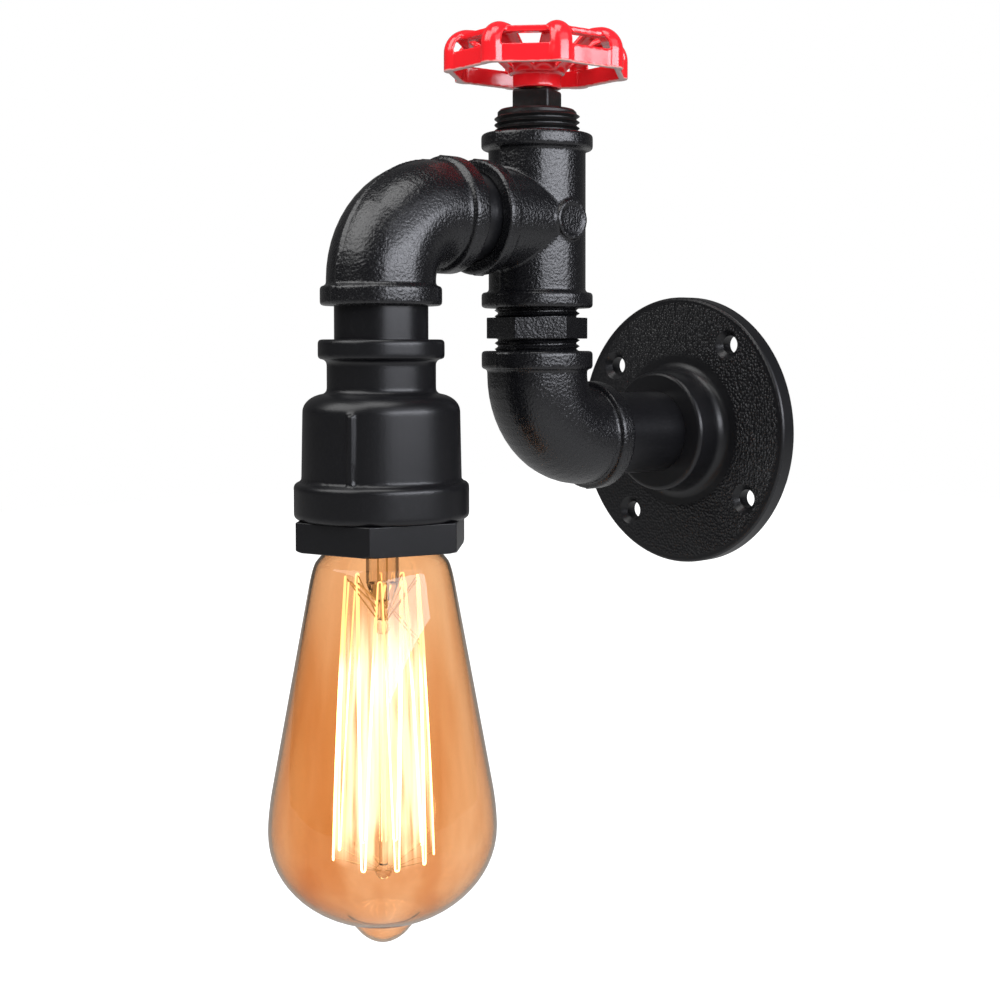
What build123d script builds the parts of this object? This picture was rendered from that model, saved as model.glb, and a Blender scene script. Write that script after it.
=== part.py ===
from build123d import *
import os
from math import acos, cos, degrees, radians, sin, sqrt

os.makedirs("parts", exist_ok=True)

# Millimetres. The origin is the centre of the flange's back face, on the wall.
# The wall is the plane y = 0 with the room on its -Y side, and +Z is up.

# --- Driving dimensions: layout -------------------------------------------------
wall_to_riser = 71.0       # wall face to the axis of the upright run
riser_gap = 13.1           # lower elbow to tee, where the hex nipple shows
branch_gap = 7.5           # tee branch to upper elbow
drop_gap = 9.4             # upper elbow to reducer
seat_gap = 0.1             # between pieces that bear on each other across a joint

# --- Pipe and thread (3/4 inch) -------------------------------------------------
pipe_r = 13.2
pipe_bore_r = 10.4
socket_depth = 12.0        # how far a nipple screws into a fitting
thread_fit = 0.05          # radial clearance of a nipple in its socket
thread_pitch = 1.814
thread_depth = 1.1
thread_crest = 0.3         # share of the pitch that is flat at the crest

# --- Cast fittings --------------------------------------------------------------
tee_reach = 26.5           # centre to mouth
tee_bead_proud = 2.2       # bead above the body
tee_bead_width = 4.8
elbow_reach = 26.8
elbow_bead_proud = 1.7
elbow_straight = 7.3       # mouth to the start of the bend
elbow_fin = 2.4            # web left in the inner corner
elbow_bead_width = 5.6
bead_r = 17.1
bead_round = 1.0
bead_root = 0.6
passage_r = 11.0
medallion_r = 6.0
medallion_proud = 0.9
medallion_rim = 1.1
medallion_sink = 0.45

# --- Wall flange ----------------------------------------------------------------
flange_r = 44.6
flange_thickness = 5.6
flange_round = 1.0
hub_r = 19.8
hub_length = 11.2
hub_root = 3.5
hub_round = 1.5
screw_circle_r = 35.8
screw_hole_r = 3.0
screw_sink_r = 4.8
screw_sink_angle = 90.0
screw_count = 4
screw_clock = 53.3         # first hole, counter-clockwise from +X as seen in the room
flange_setback = 5.0       # nipple end behind which the wires leave the flange

# --- Hex nipple -----------------------------------------------------------------
hex_flats = 27.0
hex_height = 6.45
hex_above = 2.9            # thread between the hexagon and the tee
hex_corner_angle = 50.2
hex_break = 0.8

# --- Valve plug, stem and handwheel ---------------------------------------------
plug_thread_shown = 7.4
plug_edge = 0.8
head_side = 11.9
head_height = 6.2
head_turn = 24.6
head_break = 1.4
stem_r = 3.2
stem_fit = 0.08
stem_collar_r = 5.4
stem_collar = 2.0
drive_side = 4.4
drive_fit = 0.05
packing_wire_r = 0.9
packing_down = 9.0         # packing below the top of the square head
wheel_lift = 0.3           # hub above the square head
wheel_hub_r = 7.4
wheel_hub_height = 6.4
wheel_web_r = 8.6
wheel_web = 2.0
wheel_corner_r = 28.3
wheel_rim_rise = 4.0       # rim edge above the hub's lower face
wheel_band = 5.4           # height of the outer band
wheel_wall = 1.8
wheel_band_round = 4.0
wheel_ring_flats_r = 23.4
wheel_ring_width = 3.8
wheel_ring_drop = 1.0      # ring below the tops of the spokes
spoke_count = 8
spoke_phase = 16.3
spoke_width = 6.6
spoke_crown = 1.6
spoke_top_r = 20.0
spoke_top_rise = 16.1      # spoke top above the hub's lower face
spoke_shoulder = 5.6       # radius that the spoke turns over the rim
wheel_screw_r = 1.95
wheel_screw_fit = 0.05
wheel_screw_length = 8.0
wheel_head_r = 3.9
wheel_head = 2.6
wheel_head_round = 1.2
wheel_slot = 0.9
wheel_washer_r = 4.9
wheel_washer = 0.8

# --- Bell reducer ---------------------------------------------------------------
bell_bead_r = 17.75
bell_bead_width = 5.6
bell_neck_r = 15.3
bell_neck_end = 15.2       # below the top face, where the neck opens out
bell_shoulder = 5.1
bell_root = 1.3
bell_thread_wall = 1.5     # body outside the holder's thread
bell_taper = 0.4           # body narrower at the shoulder
bell_body_end = 40.0       # below the top face, where the lower band starts
bell_band_proud = 2.1
bell_band_width = 10.3
bell_band_round = 1.4
bell_wall = 2.6
bell_ledge_down = 38.2     # below the top face, where the holder bears
holder_thread_r = 20.95
holder_thread_fit = 0.05
bell_rib_angle = -60.1
bell_rib_width = 1.6
bell_rib_proud = 0.7

# --- Lampholder -----------------------------------------------------------------
nut_shoulder = 1.25        # flats outside the holder's thread
nut_height = 8.4
nut_corner_angle = -46.1
nut_break = 1.2
nut_bore_r = 18.4
holder_washer = 0.8
holder_flange = 3.0
holder_flange_play = 0.35  # radial, inside the holder's thread
holder_r = 17.6
holder_skirt_r = 16.9
holder_skirt = 8.4
holder_top = 19.2          # top face above the flange's lower face
holder_floor = 6.0
holder_edge = 1.2
shell_wall = 0.5
shell_gap = 0.3            # bulb cap to screw shell
shell_length = 19.0
shell_lip = 2.5            # floor of the shell round its edge
leaf_width = 6.0
leaf_thickness = 0.5
leaf_reach = 9.0
leaf_drop = 2.0
rivet_r = 1.5
rivet_head_r = 2.4
rivet_head = 0.8
terminal_x = 5.0
terminal_width = 6.0
terminal_depth = 6.5
terminal_height = 5.0
terminal_screw_r = 1.2
terminal_head_r = 1.9
terminal_head = 1.2
terminal_hole_r = 1.6
terminal_floor = 1.0
earth_sheet = 0.6
earth_width = 5.0
earth_barrel_r = 1.7
earth_barrel = 4.0
earth_y = 6.2

# --- Wires ----------------------------------------------------------------------
wire_r = 1.1
copper_r = 0.6
wire_bend_r = 15.0
bare_tip = 4.0
wire_end_back = 1.5        # wire ends in front of the wall face

# --- Bulb -----------------------------------------------------------------------
bulb_length = 140.0
bulb_max_r = 32.3
bulb_max_down = 106.8      # below the contact's top
bulb_dome_r = 26.4
glass_wall = 0.8
cap_r = 13.1
cap_wall = 0.4
cap_down = 3.5             # metal shell starts below the contact's top
cap_length = 21.0
cap_tuck = 5.0             # glass inside the metal cap
contact_r = 4.8
contact_height = 1.1
insulator_top_r = 5.4
neck_r = 12.4
neck_flare_r = 18.7
neck_flare_down = 31.5
slope_top_r = 20.6
slope_top_down = 38.5
slope_low_r = 31.0
slope_low_down = 95.0
tip_start_r = 11.0
tip_mid_down = 136.3
tip_mid_r = 6.4
mount_tube_r = 4.6
mount_press_down = 42.0
mount_press_r = 3.0
mount_rod_r = 1.2
bead_glass_r = 2.3
top_bead_down = 50.0
low_bead_down = 120.0
lead_r = 0.3
lead_x = 2.0
hook_r = 0.2
cage_top_down = 36.5
cage_low_down = 115.0
cage_top_r = 10.6
cage_low_r = 14.3
cage_hooks = 9             # lower hooks; the upper ring has one fewer
cage_sweep = 340.0
filament_r = 0.16
filament_turn_r = 0.45
filament_turn_width = 1.1
hook_gap = 0.1

# --- Places that follow from them -----------------------------------------------
riser_y = -wall_to_riser
tee_z = elbow_reach + riser_gap + tee_reach
drop_y = riser_y - tee_reach - branch_gap - elbow_reach
tee_body_r = bead_r - tee_bead_proud
elbow_body_r = bead_r - elbow_bead_proud
socket_r = pipe_r + thread_fit
bell_body_r = holder_thread_r + holder_thread_fit + bell_thread_wall
bell_top_r = bell_body_r - bell_taper
bell_band_r = bell_body_r + bell_band_proud
nut_flats = 2 * (holder_thread_r + nut_shoulder)
holder_flange_r = holder_thread_r - holder_flange_play
tee_top = tee_z + tee_reach
tee_bottom = tee_z - tee_reach
drop_top = tee_z - elbow_reach
bell_top = drop_top - drop_gap
band_top = bell_top - bell_body_end
nut_top = band_top - bell_band_width
nut_low = nut_top - nut_height
ledge_z = bell_top - bell_ledge_down
earth_low = ledge_z - earth_sheet
flange_low = earth_low - holder_flange
collar_top = flange_low - holder_washer
holder_top_z = flange_low + holder_top
floor_z = holder_top_z - holder_floor
holder_bore_r = cap_r + shell_gap + shell_wall
leaf_low = floor_z - leaf_thickness - leaf_drop
contact_z = leaf_low - seat_gap
plug_top = tee_top + plug_thread_shown
head_top = plug_top + head_height
hub_low = head_top + wheel_lift
hub_top = hub_low + wheel_hub_height
stem_low = tee_top - socket_depth - seat_gap - stem_collar

riser_axis = Axis((0, riser_y, 0), (0, 0, 1))
drop_axis = Axis((0, drop_y, 0), (0, 0, 1))


def lathe(points, centre_y, mode=Mode.ADD):
    """Turn an (r, z) outline about the upright axis at y = centre_y."""
    section = Plane(origin=(0, centre_y, 0), x_dir=(1, 0, 0), z_dir=(0, -1, 0))
    with BuildSketch(section) as outline:
        with BuildLine():
            Polyline(*points, close=True)
        make_face()
    revolve(outline.sketch, axis=Axis((0, centre_y, 0), (0, 0, 1)), mode=mode)


def ring(centre_y, inner_r, outer_r, low, high, mode=Mode.ADD):
    """A plain turned ring, or a disc where inner_r is 0."""
    lathe([(inner_r, low), (outer_r, low), (outer_r, high), (inner_r, high)], centre_y, mode)


def tube(start, length, outer_r, inner_r):
    """A straight tube that starts on a plane and runs along its normal."""
    with BuildSketch(start) as wall:
        Circle(outer_r)
        Circle(inner_r, mode=Mode.SUBTRACT)
    extrude(wall.sketch, amount=length)


def thread_crests(low, high):
    """(r, z) points of the thread's ridges, from low to high."""
    count = max(1, round((high - low) / thread_pitch))
    step = (high - low) / count
    flank = step * (1 - thread_crest) / 2
    points = []
    for turn in range(count):
        root = low + turn * step
        points.append((pipe_r - thread_depth, root))
        points.append((pipe_r, root + flank))
        points.append((pipe_r, root + step - flank))
    return points + [(pipe_r - thread_depth, high)]


def mouth(centre, direction, reach):
    """The plane of a fitting's mouth, facing out of the fitting."""
    place = Vector(*centre) + Vector(*direction) * reach
    return Plane(origin=place, x_dir=(1, 0, 0), z_dir=direction)


def mouth_bead(face, width):
    """The thick rounded rim round a mouth, behind its plane."""
    with BuildSketch(face) as rim:
        Circle(bead_r)
    extrude(rim.sketch, amount=-width)


def round_beads(part_edges, body_r):
    """Round the rims of the beads, and the corner where each meets the body."""
    circles = part_edges.filter_by(GeomType.CIRCLE)
    fillet([rim for rim in circles if abs(rim.radius - bead_r) < 0.01], radius=bead_round)
    fillet([foot for foot in circles if abs(foot.radius - body_r) < 0.01], radius=bead_root)


def socket(face):
    """The threaded bore behind a mouth."""
    with BuildSketch(face) as bore:
        Circle(socket_r)
    extrude(bore.sketch, amount=-socket_depth, mode=Mode.SUBTRACT)


def elbow_way(centre, rise):
    """Centre line of an elbow, from its mouth towards the wall to its upright mouth."""
    wall_end = Vector(*centre) + Vector(0, elbow_reach, 0)
    upright_end = Vector(*centre) + Vector(0, 0, rise * elbow_reach)
    with BuildLine() as way:
        FilletPolyline(wall_end, centre, upright_end, radius=elbow_reach - elbow_straight)
    return way.wires()[0]


# --- Wall flange ----------------------------------------------------------------
flange_front = Plane(origin=(0, -flange_thickness, 0), x_dir=(1, 0, 0), z_dir=(0, -1, 0))
hub_front = flange_front.offset(hub_length)

with BuildPart() as wall_flange:
    with BuildSketch(Plane(origin=(0, 0, 0), x_dir=(1, 0, 0), z_dir=(0, -1, 0))):
        Circle(flange_r)
    extrude(amount=flange_thickness)
    fillet(wall_flange.faces().sort_by(Axis.Y)[0].edges(), radius=flange_round)
    with BuildSketch(flange_front):
        Circle(hub_r)
    extrude(amount=hub_length)
    hub_rims = wall_flange.edges().filter_by(GeomType.CIRCLE)
    hub_rims = [rim for rim in hub_rims if abs(rim.radius - hub_r) < 0.01]
    hub_rims.sort(key=lambda rim: rim.center().Y)
    fillet(hub_rims[:1], radius=hub_round)
    foot = [rim for rim in wall_flange.edges().filter_by(GeomType.CIRCLE)
            if abs(rim.radius - hub_r) < 0.01 and abs(rim.center().Y + flange_thickness) < 0.01]
    fillet(foot, radius=hub_root)
    with Locations(hub_front):
        Hole(socket_r)
    with Locations(flange_front):
        with PolarLocations(screw_circle_r, screw_count, start_angle=screw_clock):
            CounterSinkHole(screw_hole_r, screw_sink_r, counter_sink_angle=screw_sink_angle)
wall_flange.part.label = "wall_flange"

# --- Wall nipple ----------------------------------------------------------------
wall_nipple_start = Plane(origin=(0, -flange_setback, 0), x_dir=(1, 0, 0), z_dir=(0, -1, 0))
wall_nipple_length = wall_to_riser - elbow_reach + socket_depth - flange_setback

with BuildPart() as wall_nipple:
    tube(wall_nipple_start, wall_nipple_length, pipe_r, pipe_bore_r)
wall_nipple.part.label = "wall_nipple"


# --- Elbows ---------------------------------------------------------------------
def cast_elbow(centre, rise):
    """A quarter bend with a bead and a socket at each mouth."""
    way = elbow_way(centre, rise)
    wall_mouth = mouth(centre, (0, 1, 0), elbow_reach)
    upright_mouth = mouth(centre, (0, 0, rise), elbow_reach)
    start = Plane(origin=way @ 0, x_dir=(1, 0, 0), z_dir=way % 0)
    with BuildSketch(start) as body:
        Circle(elbow_body_r)
    sweep(body.sketch, path=way)
    mouth_bead(wall_mouth, elbow_bead_width)
    mouth_bead(upright_mouth, elbow_bead_width)
    with BuildSketch(start) as passage:
        Circle(passage_r)
    sweep(passage.sketch, path=way, mode=Mode.SUBTRACT)
    socket(wall_mouth)
    socket(upright_mouth)


def corner_fin(centre, rise):
    """The web that the mould leaves in an elbow's inner corner, from bead to bead."""
    middle = Plane(origin=centre, x_dir=(0, 1, 0), z_dir=(rise, 0, 0))
    behind_bead = elbow_reach - elbow_bead_width
    bend_r = elbow_reach - elbow_straight
    in_wall = (elbow_body_r + passage_r) / 2
    in_bend = bend_r - (bend_r - in_wall) / sqrt(2)
    fin_r = bead_r - 1.5 * bead_round
    with BuildSketch(middle) as fin:
        with BuildLine():
            Polyline((in_bend, in_bend), (behind_bead, in_wall), (behind_bead, fin_r),
                     (fin_r, behind_bead), (in_wall, behind_bead), close=True)
        make_face()
    extrude(fin.sketch, amount=elbow_fin / 2, both=True)


with BuildPart() as lower_elbow:
    cast_elbow((0, riser_y, 0), 1)
    round_beads(lower_elbow.edges(), elbow_body_r)
    corner_fin((0, riser_y, 0), 1)
lower_elbow.part.label = "lower_elbow"

with BuildPart() as upper_elbow:
    cast_elbow((0, drop_y, tee_z), -1)
    round_beads(upper_elbow.edges(), elbow_body_r)
    corner_fin((0, drop_y, tee_z), -1)
upper_elbow.part.label = "upper_elbow"

# --- Hex nipple between the lower elbow and the tee ------------------------------
hex_top = tee_bottom - hex_above
hex_low = hex_top - hex_height

with BuildPart() as hex_nipple:
    lathe(
        [(pipe_bore_r, elbow_reach - socket_depth), (pipe_r, elbow_reach - socket_depth)]
        + [(pipe_r, elbow_reach)]
        + thread_crests(elbow_reach, hex_low)
        + thread_crests(hex_top, tee_bottom)
        + [(pipe_r, tee_bottom), (pipe_r, tee_bottom + socket_depth)]
        + [(pipe_bore_r, tee_bottom + socket_depth)],
        riser_y,
    )
    with BuildSketch(Plane(origin=(0, riser_y, hex_low))):
        RegularPolygon(hex_flats / 2, 6, major_radius=False, rotation=hex_corner_angle)
        Circle(pipe_bore_r, mode=Mode.SUBTRACT)
    extrude(amount=hex_height)
    hex_corner_r = hex_flats / sqrt(3)
    for face_z, inward in ((hex_top, -1), (hex_low, 1)):
        lathe(
            [(hex_corner_r - hex_break, face_z), (hex_corner_r + hex_break, face_z),
             (hex_corner_r + hex_break, face_z + inward * hex_break)],
            riser_y,
            Mode.SUBTRACT,
        )
hex_nipple.part.label = "hex_nipple"

# --- Tee ------------------------------------------------------------------------
tee_centre = (0, riser_y, tee_z)
tee_mouths = [
    mouth(tee_centre, (0, 0, 1), tee_reach),
    mouth(tee_centre, (0, 0, -1), tee_reach),
    mouth(tee_centre, (0, -1, 0), tee_reach),
]
medallion_face = Plane(
    origin=(tee_body_r + medallion_proud, riser_y, tee_z), x_dir=(0, 1, 0), z_dir=(1, 0, 0)
)

with BuildPart() as tee:
    for face in tee_mouths:
        with BuildSketch(face):
            Circle(tee_body_r)
        extrude(amount=-tee_reach)
    with BuildSketch(medallion_face):
        Circle(medallion_r)
    extrude(amount=-(tee_body_r + medallion_proud) / 2)
    with BuildSketch(medallion_face):
        Circle(medallion_r - medallion_rim)
    extrude(amount=-medallion_sink, mode=Mode.SUBTRACT)
    for face in tee_mouths:
        mouth_bead(face, tee_bead_width)
    for face in tee_mouths:
        with BuildSketch(face):
            Circle(passage_r)
        extrude(amount=-tee_reach, mode=Mode.SUBTRACT)
    for face in tee_mouths:
        socket(face)
    round_beads(tee.edges(), tee_body_r)
tee.part.label = "tee"

# --- Nipples of the branch and the drop ------------------------------------------
with BuildPart() as branch_nipple:
    tube(tee_mouths[2].offset(-socket_depth), branch_gap + 2 * socket_depth, pipe_r, pipe_bore_r)
branch_nipple.part.label = "branch_nipple"

with BuildPart() as drop_nipple:
    ring(drop_y, pipe_bore_r, pipe_r, bell_top - socket_depth, drop_top + socket_depth)
drop_nipple.part.label = "drop_nipple"

# --- Bell reducer ----------------------------------------------------------------
neck_end_z = bell_top - bell_neck_end
shoulder_z = neck_end_z - bell_shoulder
bead_low_z = bell_top - bell_bead_width
cavity_r = bell_top_r - bell_wall
section_plane = Plane(origin=(0, drop_y, 0), x_dir=(1, 0, 0), z_dir=(0, -1, 0))
shoulder_arc = bell_top_r - bell_neck_r

with BuildPart() as bell_reducer:
    with BuildSketch(section_plane):
        with BuildLine():
            Polyline((0, nut_top), (bell_band_r, nut_top), (bell_band_r, band_top),
                     (bell_body_r, band_top), (bell_top_r, shoulder_z))
            EllipticalCenterArc((bell_neck_r, shoulder_z), shoulder_arc, bell_shoulder,
                                start_angle=0, arc_size=90)
            Polyline((bell_neck_r, neck_end_z), (bell_neck_r, bead_low_z),
                     (bell_bead_r, bead_low_z), (bell_bead_r, bell_top), (0, bell_top),
                     (0, nut_top))
        make_face()
    revolve(axis=drop_axis)
    rims = bell_reducer.edges().filter_by(GeomType.CIRCLE)
    fillet([rim for rim in rims if abs(rim.radius - bell_band_r) < 0.01], radius=bell_band_round)
    rims = bell_reducer.edges().filter_by(GeomType.CIRCLE)
    fillet([rim for rim in rims if abs(rim.radius - bell_bead_r) < 0.01], radius=bead_round)
    rims = bell_reducer.edges().filter_by(GeomType.CIRCLE)
    fillet([rim for rim in rims if abs(rim.radius - bell_neck_r) < 0.01], radius=bell_root)
    rib_direction = (cos(radians(bell_rib_angle)), sin(radians(bell_rib_angle)), 0)
    rib_root = bell_top_r - bell_wall / 2
    rib_face = Plane(
        origin=Vector(0, drop_y, 0) + Vector(*rib_direction) * rib_root,
        x_dir=(-rib_direction[1], rib_direction[0], 0), z_dir=rib_direction,
    )
    with BuildSketch(rib_face):
        with Locations((0, (shoulder_z + band_top) / 2)):
            Rectangle(bell_rib_width, shoulder_z - band_top)
    extrude(amount=bell_body_r + bell_rib_proud - rib_root)
    with BuildSketch(section_plane):
        with BuildLine():
            Polyline((0, ledge_z), (cavity_r, ledge_z), (cavity_r, shoulder_z - bell_wall))
            EllipticalCenterArc((passage_r, shoulder_z - bell_wall), cavity_r - passage_r,
                                bell_shoulder, start_angle=0, arc_size=90)
            Polyline((passage_r, neck_end_z - bell_wall), (passage_r, bell_top), (0, bell_top),
                     (0, ledge_z))
        make_face()
    revolve(axis=drop_axis, mode=Mode.SUBTRACT)
    ring(drop_y, 0, socket_r, bell_top - socket_depth, bell_top, Mode.SUBTRACT)
    ring(drop_y, 0, holder_thread_r + holder_thread_fit, nut_top, ledge_z, Mode.SUBTRACT)
bell_reducer.part.label = "bell_reducer"

# --- Holder nut, its washer and the earth tag -------------------------------------
with BuildPart() as holder_nut:
    ring(drop_y, nut_bore_r, holder_thread_r, nut_top, collar_top)
    with BuildSketch(Plane(origin=(0, drop_y, nut_low))):
        RegularPolygon(nut_flats / 2, 6, major_radius=False, rotation=nut_corner_angle)
        Circle(nut_bore_r, mode=Mode.SUBTRACT)
    extrude(amount=nut_height)
    nut_corner_r = nut_flats / sqrt(3)
    lathe(
        [(nut_corner_r - nut_break, nut_low), (nut_corner_r + nut_break, nut_low),
         (nut_corner_r + nut_break, nut_low + nut_break)],
        drop_y,
        Mode.SUBTRACT,
    )
holder_nut.part.label = "holder_nut"

with BuildPart() as holder_gasket:
    ring(drop_y, nut_bore_r, holder_flange_r, collar_top, flange_low)
holder_gasket.part.label = "holder_gasket"

earth_strap_r = (holder_r + cavity_r) / 2
earth_strap_top = holder_top_z + earth_sheet

with BuildPart() as earth_tag:
    ring(drop_y, holder_r + seat_gap, holder_flange_r, earth_low, ledge_z)
    with BuildSketch(Plane(origin=(0, drop_y, earth_low))):
        with Locations((0, earth_strap_r)):
            Rectangle(earth_width, earth_sheet)
    extrude(amount=earth_strap_top - earth_low)
    with BuildSketch(Plane(origin=(0, drop_y, holder_top_z))):
        with Locations((0, (earth_y + earth_strap_r) / 2)):
            Rectangle(earth_width, earth_strap_r - earth_y + earth_width)
        with Locations((0, earth_strap_r + earth_sheet / 2)):
            Rectangle(earth_width, earth_width, align=(Align.CENTER, Align.MIN),
                      mode=Mode.SUBTRACT)
    extrude(amount=earth_sheet)
    ring(drop_y + earth_y, copper_r + seat_gap, earth_barrel_r, earth_strap_top,
         earth_strap_top + earth_barrel)
earth_tag.part.label = "earth_tag"

# --- Lampholder: porcelain, screw shell and contacts -------------------------------
skirt_low = flange_low - holder_skirt
shell_low = floor_z - shell_length

with BuildPart() as lampholder_body:
    lathe(
        [(holder_bore_r, skirt_low), (holder_skirt_r, skirt_low), (holder_skirt_r, flange_low),
         (holder_flange_r, flange_low), (holder_flange_r, earth_low), (holder_r, earth_low),
         (holder_r, holder_top_z - holder_edge), (holder_r - holder_edge, holder_top_z),
         (0, holder_top_z), (0, floor_z), (holder_bore_r, floor_z)],
        drop_y,
    )
    with Locations(Plane(origin=(0, drop_y, holder_top_z))):
        with Locations((-terminal_x, 0), (terminal_x, 0)):
            Hole(rivet_r + seat_gap)
lampholder_body.part.label = "lampholder_body"

with BuildPart() as screw_shell:
    ring(drop_y, holder_bore_r - shell_wall, holder_bore_r, shell_low, floor_z)
    ring(drop_y, holder_bore_r - shell_lip, holder_bore_r, floor_z - shell_wall, floor_z)
    with BuildSketch(Plane(origin=(0, drop_y, floor_z))):
        with Locations((terminal_x, 0)):
            Circle(rivet_head_r)
    extrude(amount=-shell_wall)
    with BuildSketch(Plane(origin=(0, drop_y, floor_z))):
        with Locations((terminal_x, 0)):
            Rectangle(holder_bore_r - terminal_x - shell_wall, 2 * rivet_head_r,
                      align=(Align.MIN, Align.CENTER))
    extrude(amount=-shell_wall)
    with Locations(Plane(origin=(0, drop_y, floor_z))):
        with Locations((terminal_x, 0)):
            Hole(rivet_r + seat_gap)
screw_shell.part.label = "screw_shell"

leaf_right = terminal_x - rivet_head_r - 2 * seat_gap
leaf_bend = -terminal_x + rivet_head_r + leaf_thickness
leaf_flat = leaf_bend + leaf_drop

with BuildPart() as centre_contact:
    with BuildSketch(section_plane):
        with BuildLine():
            Polyline(
                (-leaf_reach, floor_z), (leaf_bend, floor_z),
                (leaf_flat + leaf_thickness, leaf_low + leaf_thickness),
                (leaf_right, leaf_low + leaf_thickness), (leaf_right, leaf_low),
                (leaf_flat, leaf_low), (leaf_bend - leaf_thickness / 2, floor_z - leaf_thickness),
                (-leaf_reach, floor_z - leaf_thickness), close=True,
            )
        make_face()
    extrude(amount=leaf_width / 2, both=True)
    with Locations(Plane(origin=(0, drop_y, floor_z))):
        with Locations((-terminal_x, 0)):
            Hole(rivet_r + seat_gap)
centre_contact.part.label = "centre_contact"

with BuildPart() as contact_rivets:
    for side, sheet in ((-1, leaf_thickness), (1, shell_wall)):
        with BuildSketch(Plane(origin=(side * terminal_x, drop_y, floor_z - sheet))):
            Circle(rivet_head_r - seat_gap)
        extrude(amount=-rivet_head)
        with BuildSketch(Plane(origin=(side * terminal_x, drop_y, floor_z - sheet))):
            Circle(rivet_r)
        extrude(amount=sheet + holder_floor)
contact_rivets.part.label = "contact_rivets"


# --- Terminals ------------------------------------------------------------------
def terminal_block(side):
    """A brass block with an upright hole for the wire and a cross hole for its screw."""
    base = Plane(origin=(side * terminal_x, drop_y, holder_top_z))
    with BuildSketch(base) as block:
        Rectangle(terminal_width, terminal_depth)
    extrude(block.sketch, amount=terminal_height)
    with BuildSketch(base.offset(terminal_height)) as wire_hole:
        Circle(terminal_hole_r)
    extrude(wire_hole.sketch, amount=-(terminal_height - terminal_floor), mode=Mode.SUBTRACT)
    with BuildSketch(terminal_screw_plane(side)) as screw_hole:
        Circle(terminal_screw_r + seat_gap)
    extrude(screw_hole.sketch, amount=-terminal_depth / 2, mode=Mode.SUBTRACT)


def terminal_screw_plane(side):
    """The block's face on which its screw's head sits."""
    return Plane(
        origin=(side * terminal_x, drop_y - terminal_depth / 2,
                holder_top_z + terminal_height / 2),
        x_dir=(1, 0, 0), z_dir=(0, -1, 0),
    )


with BuildPart() as live_terminal:
    terminal_block(-1)
live_terminal.part.label = "live_terminal"

with BuildPart() as neutral_terminal:
    terminal_block(1)
neutral_terminal.part.label = "neutral_terminal"

with BuildPart() as terminal_screws:
    for side in (-1, 1):
        with BuildSketch(terminal_screw_plane(side)):
            Circle(terminal_head_r)
        extrude(amount=terminal_head)
        with BuildSketch(terminal_screw_plane(side)):
            Circle(terminal_screw_r)
        extrude(amount=-(terminal_depth / 2 - copper_r - seat_gap))
        with BuildSketch(terminal_screw_plane(side).offset(terminal_head)):
            Rectangle(2 * terminal_head_r, terminal_head / 2)
        extrude(amount=-terminal_head / 2, mode=Mode.SUBTRACT)
terminal_screws.part.label = "terminal_screws"

# --- Wires, held all the way from the flange to the lampholder ----------------------
wire_start_y = -wire_end_back - bare_tip


def wire_way(side_x, last_y, last_z):
    """Centre line of one wire: along the pipework, and down to its terminal."""
    with BuildLine() as way:
        FilletPolyline(
            (side_x, wire_start_y, 0), (side_x, riser_y, 0), (side_x, riser_y, tee_z),
            (side_x, last_y, tee_z), (side_x, last_y, last_z), radius=wire_bend_r,
        )
    return way.wires()[0]


wire_ends = [
    ("live_wire", -terminal_x, drop_y, holder_top_z + terminal_height + seat_gap),
    ("neutral_wire", terminal_x, drop_y, holder_top_z + terminal_height + seat_gap),
    ("earth_wire", 0, drop_y + earth_y, earth_strap_top + earth_barrel + seat_gap),
]
print("wire bend radius", wire_bend_r, "for a wire of diameter", 2 * wire_r)
wires = {}
for wire_name, side_x, last_y, last_z in wire_ends:
    with BuildPart() as wire:
        way = wire_way(side_x, last_y, last_z)
        with BuildSketch(Plane(origin=way @ 0, x_dir=(1, 0, 0), z_dir=way % 0)):
            Circle(wire_r)
        sweep(path=way)
    wire.part.label = wire_name
    wires[wire_name] = wire
    print(wire_name, "length", round(way.length, 1))

with BuildPart() as wire_tips:
    for wire_name, side_x, last_y, last_z in wire_ends:
        with BuildSketch(Plane(origin=(side_x, wire_start_y, 0), x_dir=(1, 0, 0), z_dir=(0, 1, 0))):
            Circle(copper_r)
        extrude(amount=bare_tip)
        with BuildSketch(Plane(origin=(side_x, last_y, last_z))):
            Circle(copper_r)
        extrude(amount=-(bare_tip - 2 * seat_gap))
wire_tips.part.label = "wire_tips"

# --- Valve plug and packing ----------------------------------------------------------
plug_low = tee_top - socket_depth
stem_bore_r = stem_r + stem_fit
packing_z = head_top - packing_down
packing_r = stem_bore_r + packing_wire_r

with BuildPart() as valve_plug:
    lathe(
        [(0, plug_low), (pipe_r, plug_low), (pipe_r, tee_top)]
        + thread_crests(tee_top, plug_top - plug_edge)
        + [(pipe_r - thread_depth - plug_edge, plug_top), (0, plug_top)],
        riser_y,
    )
    with BuildSketch(Plane(origin=(0, riser_y, plug_top))):
        Rectangle(head_side, head_side, rotation=head_turn)
    extrude(amount=head_height)
    head_corner_r = head_side / sqrt(2)
    lathe(
        [(head_corner_r - head_break, head_top), (head_corner_r + head_break, head_top),
         (head_corner_r + head_break, head_top - 2 * head_break)],
        riser_y,
        Mode.SUBTRACT,
    )
    ring(riser_y, 0, stem_bore_r, plug_low, head_top, Mode.SUBTRACT)
    ring(riser_y, 0, packing_r + packing_wire_r + seat_gap, packing_z - packing_wire_r,
         packing_z + packing_wire_r, Mode.SUBTRACT)
valve_plug.part.label = "valve_plug"

with BuildPart() as stem_packing:
    with BuildSketch(Plane(origin=(0, riser_y, 0), x_dir=(1, 0, 0), z_dir=(0, -1, 0))):
        with Locations((packing_r, packing_z)):
            Circle(packing_wire_r)
    revolve(axis=riser_axis)
stem_packing.part.label = "stem_packing"

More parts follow.
